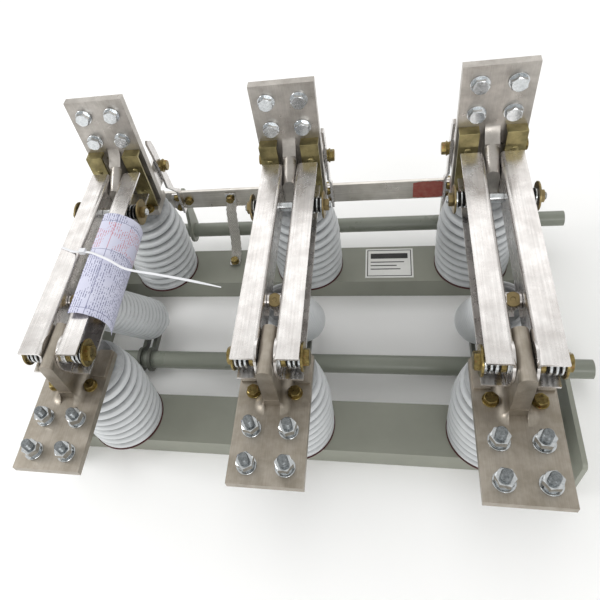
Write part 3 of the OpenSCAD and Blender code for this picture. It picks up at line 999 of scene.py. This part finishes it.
@dataclass
class RearTerminals:
    """Upright rear pads with their bolts, brackets and earthing contacts."""

    flats: float = 19.0
    bolt_r: float = 6.0
    hole_pitch: float = 45.0
    hole_edge: float = 25.0
    pad_half: float = 45.0
    bracket_w: float = 26.0
    rivets_up: tuple[float, float] = (34.0, 78.0)
    contact_t: float = 4.0

    def build(self) -> None:
        """Build the three rear terminals."""
        for pole in POLES:
            node = f"rear_terminal_{pole}"
            # The upright pads take the lighter copy of the tin: painted light.
            broken_edges(node, Finishes.UPRIGHT_TIN_LIT, "frame", "tin_plate", 0.8)
            self.bolts(pole, node)
        broken_edges("rear_brackets", Finishes.OLIVE_ZINC, "frame", "yellow_zinc", 0.7)
        broken_edges("fixed_earth_contacts", Finishes.BLADE_TIN, "frame", "tin_plate", 0.5)
        self.bracket_rivets()
        self.contact_bolts()

    def bracket_rivets(self) -> None:
        """Head two rivets on the front of each bracket and a bolt on its foot."""
        low, high = box_mm("rear_brackets")
        right = box_mm("rear_terminal_right")[0].x + self.pad_half
        head = [(4.6, -0.2), (4.6, 0.4), (4.0, 1.2), (2.6, 1.9), (0.8, 2.2)]
        rivets, bolts = Mould("bracket_rivets"), Mould("bracket_bolts")
        for pole in POLES:
            middle = middle_x(f"rear_terminal_{pole}")
            for side in SIDES:
                x = middle + side * (high.x - right - self.bracket_w / 2)
                for up in self.rivets_up:
                    rivets.turned(head, Vector((x, low.y, low.z + up)), Axis.BACK_Y.way, 24)
                bolts.bolt(M8_WIDE, Vector((x, low.y - 7.8, low.z)), Axis.Z.way, 20.0 + 15 * side)
        rivets.piece(Finishes.OLIVE_ZINC, "frame", "yellow_zinc")
        bolts.piece(Finishes.YELLOW_ZINC, "frame", "yellow_zinc")

    def contact_bolts(self) -> None:
        """Set a bolt through the foot of each fixed earthing contact."""
        low, high = box_mm("fixed_earth_contacts")
        right = box_mm("rear_terminal_right")[0].x + self.pad_half
        mould = Mould("earth_contact_bolts")
        for pole in POLES:
            middle = middle_x(f"rear_terminal_{pole}")
            for side in SIDES:
                inner = middle + side * (high.x - right - self.contact_t)
                spot = Vector((inner, low.y + 12, (low.z + high.z) / 2))
                mould.bolt(M8, spot, Axis.X.way * -side, 25.0)
        mould.piece(Finishes.YELLOW_ZINC, "frame", "yellow_zinc")

    def bolts(self, pole: str, node: str) -> None:
        """Set four bolts in a pad, heads to the front.

        Args:
            pole: The pole's name.
            node: The terminal's CAD node.
        """
        high, middle = box_mm(node)[1], middle_x(node)
        face = box_mm("rear_brackets")[1].y
        back = box_mm("fixed_earth_contacts")[0].y
        chance = random.Random(27 + POLES.index(pole))
        mould, ends = Mould(f"rear_bolts_{pole}"), Mould(f"rear_bolt_ends_{pole}")
        for dx in (-1, 1):
            for row in (0, 1):
                z = high.z - self.hole_edge - row * self.hole_pitch
                front = Vector((middle + dx * self.hole_pitch / 2, face, z))
                rear = Vector((front.x, back, z))
                head_side(mould, front, Axis.BACK_Y.way, self.bolt_r, self.flats, chance)
                nut_side(mould, ends, rear, Axis.Y.way, self.bolt_r, self.flats, chance)
                mould.turned([(self.bolt_r, 0), (self.bolt_r, back - face)], front, Axis.Y.way, 24)
        mould.piece(Finishes.BRIGHT_ZINC, "frame", "bright_steel", sharp=18)
        ends.piece(Finishes.DARK_THREAD, "frame", "bright_steel", sharp=18)


@dataclass
class Blades:
    """Paired channel blades with their hinge and contact packs."""

    face_x: float = 13.0
    washer_t: float = 3.0
    collar_t: float = 6.0
    hinge_discs: int = 3
    contact_springs: int = 6
    washer_r: float = 19.5
    pin_back: float = 8.0

    def build(self) -> None:
        """Build the three poles' blades and packs."""
        for pole in POLES:
            body = f"blade_{pole}"
            broken_edges(f"blades_{pole}", Finishes.BLADE_TIN, body, "tin_plate", 0.9)
            self.hinge(pole, body)
            self.contact(pole, body)

    def hinge(self, pole: str, body: str) -> None:
        """Build the hinge pin with its spring discs, washers and heads.

        Args:
            pole: The pole's name.
            body: The body that carries the pack.
        """
        low, high = box_mm(f"hinge_pack_{pole}")
        centre = (low + high) / 2
        reach = (high.x - low.x) / 2
        face, end = self.face_x, reach - 9.5
        steel, dark = Mould(f"hinge_discs_{pole}"), Mould(f"hinge_springs_{pole}")
        yellow = Mould(f"hinge_bolt_{pole}")
        steel.turned([(5.9, -reach + 2), (5.9, reach - 2)], centre, Axis.X.way, 28)
        first = face + self.washer_t + self.collar_t
        step = (end - first) / self.hinge_discs
        for side in SIDES:
            way = Axis.X.way * side
            steel.ring(6, 14.5, self.washer_t, centre + way * face, way, edge=0.5)
            yellow.ring(6, 12.4, self.collar_t, centre + way * (face + self.washer_t), way, edge=0.8)
            for i in range(self.hinge_discs):
                along = first + i * step
                dark.ring(6, 12.0, step * 0.42, centre + way * along, way, edge=0.5)
                steel.ring(6, 14.2, step * 0.56, centre + way * (along + step * 0.43), way, edge=0.7)
            yellow.ring(6, 18, self.washer_t, centre + way * end, way, edge=0.6)
            outer = end + self.washer_t
            yellow.hexagon(19, reach - outer, centre + way * outer, way, 12 if side > 0 else 40)
        steel.piece(Finishes.BRIGHT_ZINC, body, "bright_steel", [f"hinge_pack_{pole}"])
        dark.piece(Finishes.BLACK_STEEL, body, "dark_steel")
        yellow.piece(Finishes.YELLOW_ZINC, body, "yellow_zinc")

    def contact(self, pole: str, body: str) -> None:
        """Build the rod, springs and washers that press the blades on the rear rib.

        Args:
            pole: The pole's name.
            body: The body that carries the pack.
        """
        low, high = box_mm(f"contact_pack_{pole}")
        hinge = box_mm(f"hinge_pack_{pole}")
        middle = (low.x + high.x) / 2
        reach = (high.x - low.x) / 2
        height = (hinge[0].z + hinge[1].z) / 2
        centre = Vector((middle, high.y - self.washer_r, height))
        pin = Vector((middle, low.y + self.pin_back, height))
        face, end = self.face_x, reach - 12.5
        steel, dark = Mould(f"contact_rod_{pole}"), Mould(f"contact_springs_{pole}")
        yellow = Mould(f"contact_washers_{pole}")
        steel.turned([(7, -9.5), (7, 9.5)], centre, Axis.X.way, 28)
        steel.turned([(5, -end), (5, end)], centre, Axis.X.way, 24)
        steel.turned([(4.9, -face - 5), (4.9, face + 5)], pin, Axis.X.way, 28)
        step = (end - face - 2) / self.contact_springs
        for side in SIDES:
            way = Axis.X.way * side
            steel.thread(5, 12.0, centre + way * end, way, 1.5)
            steel.ring(5, 12, 2, centre + way * face, way)
            for i in range(self.contact_springs):
                along = face + 2 + i * step
                dark.ring(5, 10.6, step * 0.52, centre + way * along, way, edge=0.6)
                steel.ring(5, 12.0, step * 0.38, centre + way * (along + step * 0.56), way)
            yellow.ring(5, self.washer_r, 2.6, centre + way * end, way, edge=0.6)
            yellow.hexagon(16, 6.5, centre + way * (end + 2.6), way, 20, both=True)
            yellow.ring(5, 8, 2, pin + way * face, way)
            yellow.hexagon(13, 5, pin + way * (face + 2), way, 10)
        steel.piece(Finishes.BRIGHT_ZINC, body, "bright_steel", [f"contact_pack_{pole}"])
        dark.piece(Finishes.BLACK_STEEL, body, "dark_steel")
        yellow.piece(Finishes.BRASS, body, "yellow_zinc")


@dataclass
class Drive:
    """The main shaft, its cranks and the pull insulators."""

    groove: float = 6.0
    taper: float = 4.0
    taper_from: float = 60.0
    taper_run: float = 174.0
    crank_eye_r: float = 9.0
    pin_back: float = 8.0
    pin_down: float = 9.0

    def build(self) -> None:
        """Dress the shaft, cranks and links and add their heads."""
        dress("main_shaft", Finishes.SHAFT_ENAMEL)
        broken_edges("crank_cheeks", Finishes.CRANK_ENAMEL, "main_shaft", "dark_steel", 0.6)
        dress("crank_pins", Finishes.BRIGHT_ZINC)
        for pole in POLES:
            body = f"pull_{pole}"
            self.resin(pole, body)
            broken_edges(f"pull_eye_{pole}", Finishes.CRANK_ENAMEL, body, "dark_steel", 0.5)
            broken_edges(f"pull_clevis_{pole}", Finishes.BLADE_TIN, body, "yellow_zinc", 0.4)
            self.disc(pole, body)
        self.split_pins()

    def link(self, pole: str) -> tuple[Vector, Vector]:
        """Return the crank pin's and the drive pin's centres of one pole."""
        eye, clevis = box_mm(f"pull_eye_{pole}"), box_mm(f"pull_clevis_{pole}")
        middle = (eye[0].x + eye[1].x) / 2
        pins = box_mm("crank_pins")
        start = Vector((middle, (pins[0].y + pins[1].y) / 2, (pins[0].z + pins[1].z) / 2))
        back = box_mm(f"contact_pack_{pole}")[0].y + self.pin_back
        return start, Vector((middle, back, clevis[1].z - self.pin_down))

    def resin(self, pole: str, body: str) -> None:
        """Stand a copy in for a pull insulator, with dust and painted shade noted in its grooves.

        Args:
            pole: The pole's name.
            body: The body that carries the insulator.
        """
        node = f"pull_insulator_{pole}"
        low, high = box_mm(node)
        start, end = self.link(pole)
        way = (end - start).normalized()
        mould = Mould(node + ".dust_and_shade_marked")
        mould.bm.from_mesh(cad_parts[node].data)
        layer = mould.bm.verts.layers.float.new(Finishes.EPOXY.mark)
        radius = (high.x - low.x) / 2
        for vert in mould.bm.verts:
            offset = vert.co / MM - start
            along = offset.dot(way)
            reach = (offset - way * along).length
            crest = radius - self.taper * max(0.0, along - self.taper_from) / self.taper_run
            depth = min(1.0, max(0.0, (crest - reach) / self.groove))
            # The mark is painted shade with dust, deepest in the grooves.
            vert[layer] = depth**1.2
        mould.piece(Finishes.EPOXY, body, "insulator", [node])

    def disc(self, pole: str, body: str) -> None:
        """Set a brass disc head and a rod where the clevis is screwed into the insulator.

        Args:
            pole: The pole's name.
            body: The body that carries them.
        """
        start, end = self.link(pole)
        way = (end - start).normalized()
        mould = Mould(f"pull_disc_{pole}")
        at = end + way * 4.0
        head = [(4.5, 0), (8.4, 0.3), (8.9, 0.9), (8.9, 2.6), (8.3, 3.4), (3.0, 3.7), (2.4, 3.2)]
        mould.turned(head, at, way, 40)
        mould.turned([(4.4, -38.0), (4.4, 0.4)], at, way, 24)
        mould.piece(Finishes.BRASS, body, "yellow_zinc")

    def split_pins(self) -> None:
        """Set a washer and a split pin with its eye on each end of each crank pin."""
        low, high = box_mm("crank_pins")
        posts = box_mm("posts_front")
        pitch = posts[1].x - (posts[1].y - posts[0].y) / 2
        reach = high.x - pitch
        centre = Vector((0, (low.y + high.y) / 2, (low.z + high.z) / 2))
        lean = Vector((0, 0.3, 1))
        mould = Mould("crank_washers")
        for i in (-1, 0, 1):
            for side in SIDES:
                at = centre + Vector((i * pitch + side * reach, 0, 0))
                way = Axis.X.way * side
                mould.ring(2.5, self.crank_eye_r + 2.0, 1.6, at, way)
                mould.turned([(5.9, 0.2), (5.9, 6.2), (5.0, 7.2)], at, way, 28)
                pin = at + way * 4.0
                mould.turned([(1.2, -9.5), (1.2, 9.5)], pin, lean, 10)
                mould.turned([(2.6, 0.0), (2.9, 1.6), (2.6, 3.2)], pin + Vector((0, 2.6, 8.4)), lean, 14)
        mould.piece(Finishes.BRIGHT_ZINC, "main_shaft", "bright_steel")


@dataclass
class EarthingSwitch:
    """The earthing shaft, its arms, the cross bar, the contact fingers and the braid."""

    plate_off: float = 38.0
    bolt_gap: float = 25.0
    plate_t: float = 4.0
    braid_w: float = 19.0
    braid_t: float = 3.0
    lug_w: float = 17.0
    lug_t: float = 1.6
    mark_x: tuple[float, float] = (180.0, 228.0)

    def build(self) -> None:
        """Dress the earthing switch and add its bolts and braid."""
        dress("earth_shaft", Finishes.SHAFT_ENAMEL)
        broken_edges("earth_arms", Finishes.FRAME_ENAMEL, "earth_switch", "frame_paint", 0.7)
        broken_edges("earth_bar", Finishes.BAR_TIN, "earth_switch", "tin_plate", 0.8)
        broken_edges("earth_fingers", Finishes.BLADE_TIN, "earth_switch", "tin_plate", 0.5)
        self.bolts()
        self.mark()
        self.braid()

    def bolts(self) -> None:
        """Bolt the finger plates and the arms to the cross bar, and set bolts on the fingers' outer sides."""
        low, high = box_mm("earth_bar")
        centre = (low.z + high.z) / 2
        middles = [middle_x(f"front_terminal_{pole}") for pole in POLES]
        chance = random.Random(41)
        mould = Mould("earth_bar_bolts")
        for middle in middles:
            for side in SIDES:
                for up in (-1, 1):
                    x, z = middle + side * self.plate_off, centre + up * self.bolt_gap / 2
                    front, back = Vector((x, low.y - self.plate_t, z)), Vector((x, high.y, z))
                    mould.bolt(M6, front, Axis.BACK_Y.way, chance.uniform(0, 60))
                    mould.ring(M6.bore, M6.washer, M6.washer_t, back, Axis.Y.way)
                    nut = back + Axis.Y.way * M6.washer_t
                    mould.hexagon(M6.flats, 5, nut, Axis.Y.way, chance.uniform(0, 60), both=True)
        contacts = box_mm("fixed_earth_contacts")
        outer = box_mm("earth_fingers")[1].x - middles[-1]
        height = (contacts[0].z + contacts[1].z) / 2 + 5
        for middle in middles:
            for side in SIDES:
                spot, way = Vector((middle + side * outer, contacts[1].y - 12, height)), Axis.X.way * side
                mould.ring(5.2, 9.5, 2, spot, way)
                mould.ring(5.2, 11.0, 2, spot + way * 2.4, way, edge=0.5)
                mould.hexagon(16, 6.5, spot + way * 4.6, way, chance.uniform(0, 60))
        arms = box_mm("earth_arms")
        for x in (arms[0].x + 18, -20.0, arms[1].x + 12):
            mould.bolt(M8, Vector((x, low.y, centre)), Axis.BACK_Y.way, chance.uniform(0, 60))
        mould.piece(Finishes.YELLOW_ZINC, "earth_switch", "yellow_zinc")

    def mark(self) -> None:
        """Rub a red mark on the front of the cross bar, as a thin coat with a ragged edge."""
        low, high = box_mm("earth_bar")
        chance = random.Random(5)
        x0, x1 = self.mark_x
        mould = Mould("earth_bar_mark")
        count = 16
        rows = []
        for i in range(count + 1):
            x = x0 + (x1 - x0) * i / count
            fade = 2.0 * math.sin(math.pi * i / count) ** 0.3
            bottom = low.z + 3.2 - fade + chance.uniform(0, 1.4)
            rows.append((x, bottom, high.z - 3.2 + fade - chance.uniform(0, 1.4)))
        outline = [(x, bottom) for x, bottom, _ in rows] + [(x, top) for x, _, top in reversed(rows)]
        mould.plate(outline, low.y - 0.12, 0.16, Axis.Y)
        mould.piece(Finishes.RED_MARK, "earth_switch", "tin_plate")

    def braid(self) -> None:
        """Hang the flat braid from the cross bar's lug down to the rear channel."""
        bar, channel, node = box_mm("earth_bar"), box_mm("rear_channel"), box_mm("earth_braid")
        rear_y = (channel[0].y + channel[1].y) / 2
        web, front = channel[1].z, bar[0].y
        seat = front - self.braid_t / 2 - 0.7
        way = [
            (rear_y + 4, web + 2), (rear_y + 14, web + 3), (rear_y + 27, web + 10),
            (rear_y + 38, web + 26), (rear_y + 45, web + 48), (rear_y + 50, web + 70),
            (rear_y + 57, bar[0].z + 3), (seat - 3.5, bar[0].z + 8), (seat, bar[0].z + 16),
            (seat, bar[0].z + 34),
        ]
        foot_x, head_x = node[0].x + self.braid_w / 2 - 2, node[1].x - self.braid_w / 2 + 4
        step = (head_x - foot_x) / (len(way) - 1)
        spine = smooth_line([Vector((foot_x + step * i, y, z)) for i, (y, z) in enumerate(way)], 6)
        rings = []
        for i, point in enumerate(spine):
            ahead = spine[min(i + 1, len(spine) - 1)] - spine[max(i - 1, 0)]
            face = Axis.X.way.cross(ahead).normalized()
            half, thick = self.braid_w / 2 * (1.0 + 0.05 * math.sin(i * 1.9)), self.braid_t / 2
            ring = []
            for t in circle(20):
                c, d = math.cos(t), math.sin(t)
                wide = math.copysign(abs(c) ** 0.35, c) * half
                plait = 1 + 0.12 * math.sin(6 * wide + i * 2.1)
                lift = math.copysign(abs(d) ** 0.6, d) * thick * plait
                ring.append(point + Axis.X.way * wide + face * lift)
            rings.append(ring)
        mould = Mould("earth_braid.plait")
        mould.loft(rings)
        piece = mould.piece(Finishes.BRAID, "", "tin_plate", ["earth_braid"], sharp=80)
        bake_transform(piece)
        self.lugs(Vector((foot_x, rear_y + 8, web)), Vector((head_x, front, bar[0].z + 25)))

    def lugs(self, foot: Vector, head: Vector) -> None:
        """Clamp the braid's two ends under a lug and a bolt each.

        Args:
            foot: The lower bolt's place on the channel.
            head: The upper bolt's place on the cross bar.
        """
        half = self.lug_w / 2
        lower = rounded(foot.x - half, foot.x + half, foot.y - 9, foot.y + 9, 4)
        upper = rounded(head.x - half, head.x + half, head.z - 10, head.z + 10, 4)
        over = self.braid_t + 2.4
        for name, body, outline, start, axis, at, way, lift, spin, shank in (
            ("foot", "frame", lower, foot.z + 3.7, Axis.Z, foot, Axis.Z.way, 5.3, 14, (-8, 6)),
            ("head", "earth_switch", upper, head.y - over, Axis.Y, head, Axis.BACK_Y.way, over, 33,
             (0, self.braid_t + 5)),
        ):
            lug = Mould(f"braid_{name}_lug")
            lug.plate(outline, start, self.lug_t, axis)
            lug.piece(Finishes.BRIGHT_ZINC, body, "bright_steel")
            bolt = Mould(f"braid_{name}_bolt")
            bolt.bolt(M8_NARROW, at + way * lift, way, spin)
            bolt.turned([(4, along) for along in shank], at, way, 20)
            bolt.piece(Finishes.YELLOW_ZINC, body, "yellow_zinc")


@dataclass
class Document:
    """A printed form rolled over one blade, held by a nylon cable tie."""

    paper_t: float = 0.7
    across: int = 40
    along: int = 36
    end_gap: float = 0.6
    low_angle: float = -30.0
    high_angle: float = 105.0
    tie_w: float = 3.4
    tie_t: float = 1.3
    tie_y: float = 119.0
    # The tie's run from the roll to its free end, from the pole's middle and the roll's top.
    tie_run: tuple[tuple[float, float, float], ...] = (
        (2, -16, -1.5), (12, -19, 0.6), (22, -22, 0.8), (48, -34, 0.2),
        (76, -48, -2), (120, -57, -3), (165, -65, -6), (208, -72, -12),
    )

    def build(self) -> None:
        """Lay the paper and lead the tie."""
        self.paper()
        self.tie()

    def oval(self) -> tuple[Vector, float, float]:
        """Return the roll's centre, half width and half height, from the CAD node that it stands for."""
        low, high = box_mm("document_roll")
        rise = 1 + math.sin(math.radians(-self.low_angle))
        half_height = (high.z - low.z) / rise
        centre_z = high.z - half_height
        half_width = (high.x - low.x) / (1 - math.cos(math.radians(self.high_angle)))
        return Vector((high.x - half_width, (low.y + high.y) / 2, centre_z)), half_width, half_height

    def paper(self) -> None:
        """Curve the sheet over the blade, with a little slack and sway."""
        centre, a, b = self.oval()
        low, high = box_mm("document_roll")
        across, along = self.across, self.along
        start, turn = math.radians(self.low_angle), math.radians(self.high_angle - self.low_angle)
        length = high.y - low.y - 2 * self.end_gap
        grid = []
        for side in (0, 1):
            layer = []
            for j in range(along + 1):
                v = j / along
                row = []
                for i in range(across + 1):
                    t = start + turn * i / across
                    drop = self.paper_t * side + 1.0 + 0.5 * math.sin(3.1 * v + 1.3 * t)
                    sway = 0.3 * math.sin(2 * math.pi * v * 1.5 + 2 * t)
                    row.append(Vector((
                        centre.x + (a - drop) * math.cos(t),
                        low.y + self.end_gap + length * v + 0.4 * math.sin(5 * t),
                        centre.z + (b - drop) * math.sin(t) + sway,
                    )))
                layer.append(row)
            grid.append(layer)
        mould = Mould("document_sheet")
        mark = mould.bm.verts.layers.float.new(Finishes.PAPER.mark)
        verts = [[[mould.bm.verts.new(p * MM) for p in row] for row in layer] for layer in grid]
        reach = (a + b) / 2 * turn * MM
        for layer in verts:
            for row in layer:
                for i, vert in enumerate(row):
                    vert[mark] = reach * i / across
        make = mould.bm.faces.new
        for j in range(along):
            for i in range(across):
                for layer in verts:
                    make((layer[j][i], layer[j][i + 1], layer[j + 1][i + 1], layer[j + 1][i]))
        inner, outer = verts
        for i in range(across):
            for j in (0, along):
                make((inner[j][i], inner[j][i + 1], outer[j][i + 1], outer[j][i]))
        for j in range(along):
            for i in (0, across):
                make((inner[j][i], inner[j + 1][i], outer[j + 1][i], outer[j][i]))
        piece = mould.piece(Finishes.PAPER, "blade_left", "document_paper", ["document_roll"], sharp=60)

    def tie(self) -> None:
        """Lead the cable tie over both blades and the roll, and leave its tail free."""
        blades = box_mm("blades_left")
        roll = box_mm("document_roll")
        deck = blades[1].z + self.tie_t / 2 + 0.3
        top = roll[1].z + self.tie_t / 2 + 0.4
        edge = blades[0].x - 1.2
        pole = (blades[0].x + blades[1].x) / 2
        start = roll[0].y + self.tie_y
        points = [
            Vector((edge, start, deck - 12)), Vector((edge - 0.4, start, deck - 3)),
            Vector((edge + 4, start - 1, deck)), Vector((pole - 18, start - 9, deck + 0.6)),
        ]
        points += [Vector((pole + x, start + y, top + z)) for x, y, z in self.tie_run]
        spine = smooth_line(points, 8)
        shape = [(-1, -0.6), (-0.8, -1), (0.8, -1), (1, -0.6), (1, 0.6), (0.8, 1), (-0.8, 1), (-1, 0.6)]
        rings = []
        for i, point in enumerate(spine):
            ahead = (spine[min(i + 1, len(spine) - 1)] - spine[max(i - 1, 0)]).normalized()
            across = Vector((ahead.y, -ahead.x, 0))
            across = across.normalized() if across.length > 0.2 else Vector((0, 1, 0))
            face = across.cross(ahead).normalized()
            left = min(len(spine) - 1 - i, 6)
            half = self.tie_w / 2 * (1.0 if i < len(spine) - 6 else 0.35 + 0.65 * left / 6)
            rings.append([point + across * (half * w) + face * (self.tie_t / 2 * h) for w, h in shape])
        mould = Mould("document_tie")
        mould.loft(rings)
        mould.piece(Finishes.NYLON, "blade_left", "label", sharp=50)
        knob = Mould("document_tie_head")
        at = points[4] + Vector((0, 0, 0.4))
        knob.block(at - Vector((4.2, 3.6, 2.6)), at + Vector((4.2, 3.6, 3.4)))
        knob.soften(0.9, 3)
        knob.piece(Finishes.NYLON, "blade_left", "label")


def smooth_line(points: Sequence[Vector], steps: int) -> list[Vector]:
    """Run a smooth curve through points.

    Args:
        points: The points, in order.
        steps: The pieces between two neighbours.

    Returns:
        The curve's points.
    """
    padded = [points[0] * 2 - points[1], *points, points[-1] * 2 - points[-2]]
    line = []
    for a, b, c, d in zip(padded, padded[1:], padded[2:], padded[3:]):
        for i in range(steps):
            t = i / steps
            square, cube = a * 2 - b * 5 + c * 4 - d, b * 3 - a - c * 3 + d
            line.append(0.5 * ((b * 2) + (c - a) * t + square * t**2 + cube * t**3))
    line.append(points[-1].copy())
    return line


def rounded(x0: float, x1: float, y0: float, y1: float, radius: float) -> list[tuple[float, float]]:
    """Return a rectangle's outline with round corners."""
    outline = []
    for cx, cy, start in ((x1, y1, 0), (x0, y1, 90), (x0, y0, 180), (x1, y0, 270)):
        inward_x, inward_y = (-radius if cx == x1 else radius), (-radius if cy == y1 else radius)
        for k in range(5):
            t = math.radians(start + 22.5 * k)
            outline.append((cx + inward_x + radius * math.cos(t), cy + inward_y + radius * math.sin(t)))
    return outline


@dataclass
class Studio:
    """The pale floor, the soft lights and the camera."""

    floor_half: float = 30.0
    room_light: float = 0.86
    lamp_ratio: float = 0.42
    # Each lamp's name, place, aim, longer side in metres and power in watts.
    lamps: tuple[tuple, ...] = (
        ("top", (-0.1, 1.9, 1.9), (-0.05, 1.3, 0.2), 3.6, 13),
        ("left", (-2.1, -0.2, 1.7), (0, 0.15, 0.2), 1.4, 22),
        ("front", (0.9, -2.0, 1.5), (0, 0.1, 0.2), 1.6, 14),
    )

    def build(self) -> None:
        """Set up the stage."""
        self.floor()
        self.lights()
        self.camera()

    def floor(self) -> None:
        """Lay a plain pale floor."""
        finish = Finish(
            "pale_floor", "#FFFFFF", "#FBFBFB", rough=0.7, rough_swing=0.02, blotch_mm=900,
            grain_mm=(50, 50, 50), grain_depth=0.01,
        )
        mesh = bpy.data.meshes.new("studio_floor")
        half = self.floor_half
        corners = [(-half, -half, 0), (half, -half, 0), (half, half, 0), (-half, half, 0)]
        mesh.from_pydata(corners, [], [(0, 1, 2, 3)])
        mesh.materials.append(finish.build())
        item = bpy.data.objects.new("studio_floor", mesh)
        bpy.context.scene.collection.objects.link(item)

    def lights(self) -> None:
        """Hang soft lamps over the switch and light the room evenly."""
        world = bpy.data.worlds.new("studio")
        world.use_nodes = True
        background = world.node_tree.nodes["Background"]
        background.inputs["Color"].default_value = linear("#F4F4F2")
        background.inputs["Strength"].default_value = self.room_light
        bpy.context.scene.world = world
        for name, place, aim, size, power in self.lamps:
            lamp = bpy.data.lights.new(name, "AREA")
            lamp.shape = "RECTANGLE"
            lamp.size = size
            lamp.size_y = size * self.lamp_ratio
            lamp.energy = power
            item = bpy.data.objects.new(name, lamp)
            item.location = place
            item.rotation_euler = (Vector(aim) - Vector(place)).to_track_quat("-Z", "Y").to_euler()
            item.visible_camera = False
            bpy.context.scene.collection.objects.link(item)

    def camera(self) -> None:
        """Look down on the switch from in front and a little to the right."""
        lens = bpy.data.cameras.new("camera")
        lens.sensor_width = 36
        lens.lens = 35.8
        lens.shift_x = 0.1014
        lens.shift_y = -0.0254
        lens.clip_start = 0.01
        item = bpy.data.objects.new("camera", lens)
        item.location = (0.13643, -0.34945, 0.88405)
        item.rotation_euler = [math.radians(a) for a in (38.6403, 11.2796, 8.2539)]
        bpy.context.scene.collection.objects.link(item)
        bpy.context.scene.camera = item
        bpy.context.scene.view_settings.view_transform = "Standard"


def main() -> None:
    """Build the switch."""
    logging.basicConfig(level=logging.INFO, format="%(message)s")
    Studio().build()
    kinds = (BaseFrame, Posts, FrontTerminals, RearTerminals, Blades, Drive, EarthingSwitch, Document)
    for kind in kinds:
        LOG.info("building %s", kind.__name__)
        kind().build()


if __name__ == "__main__":
    main()
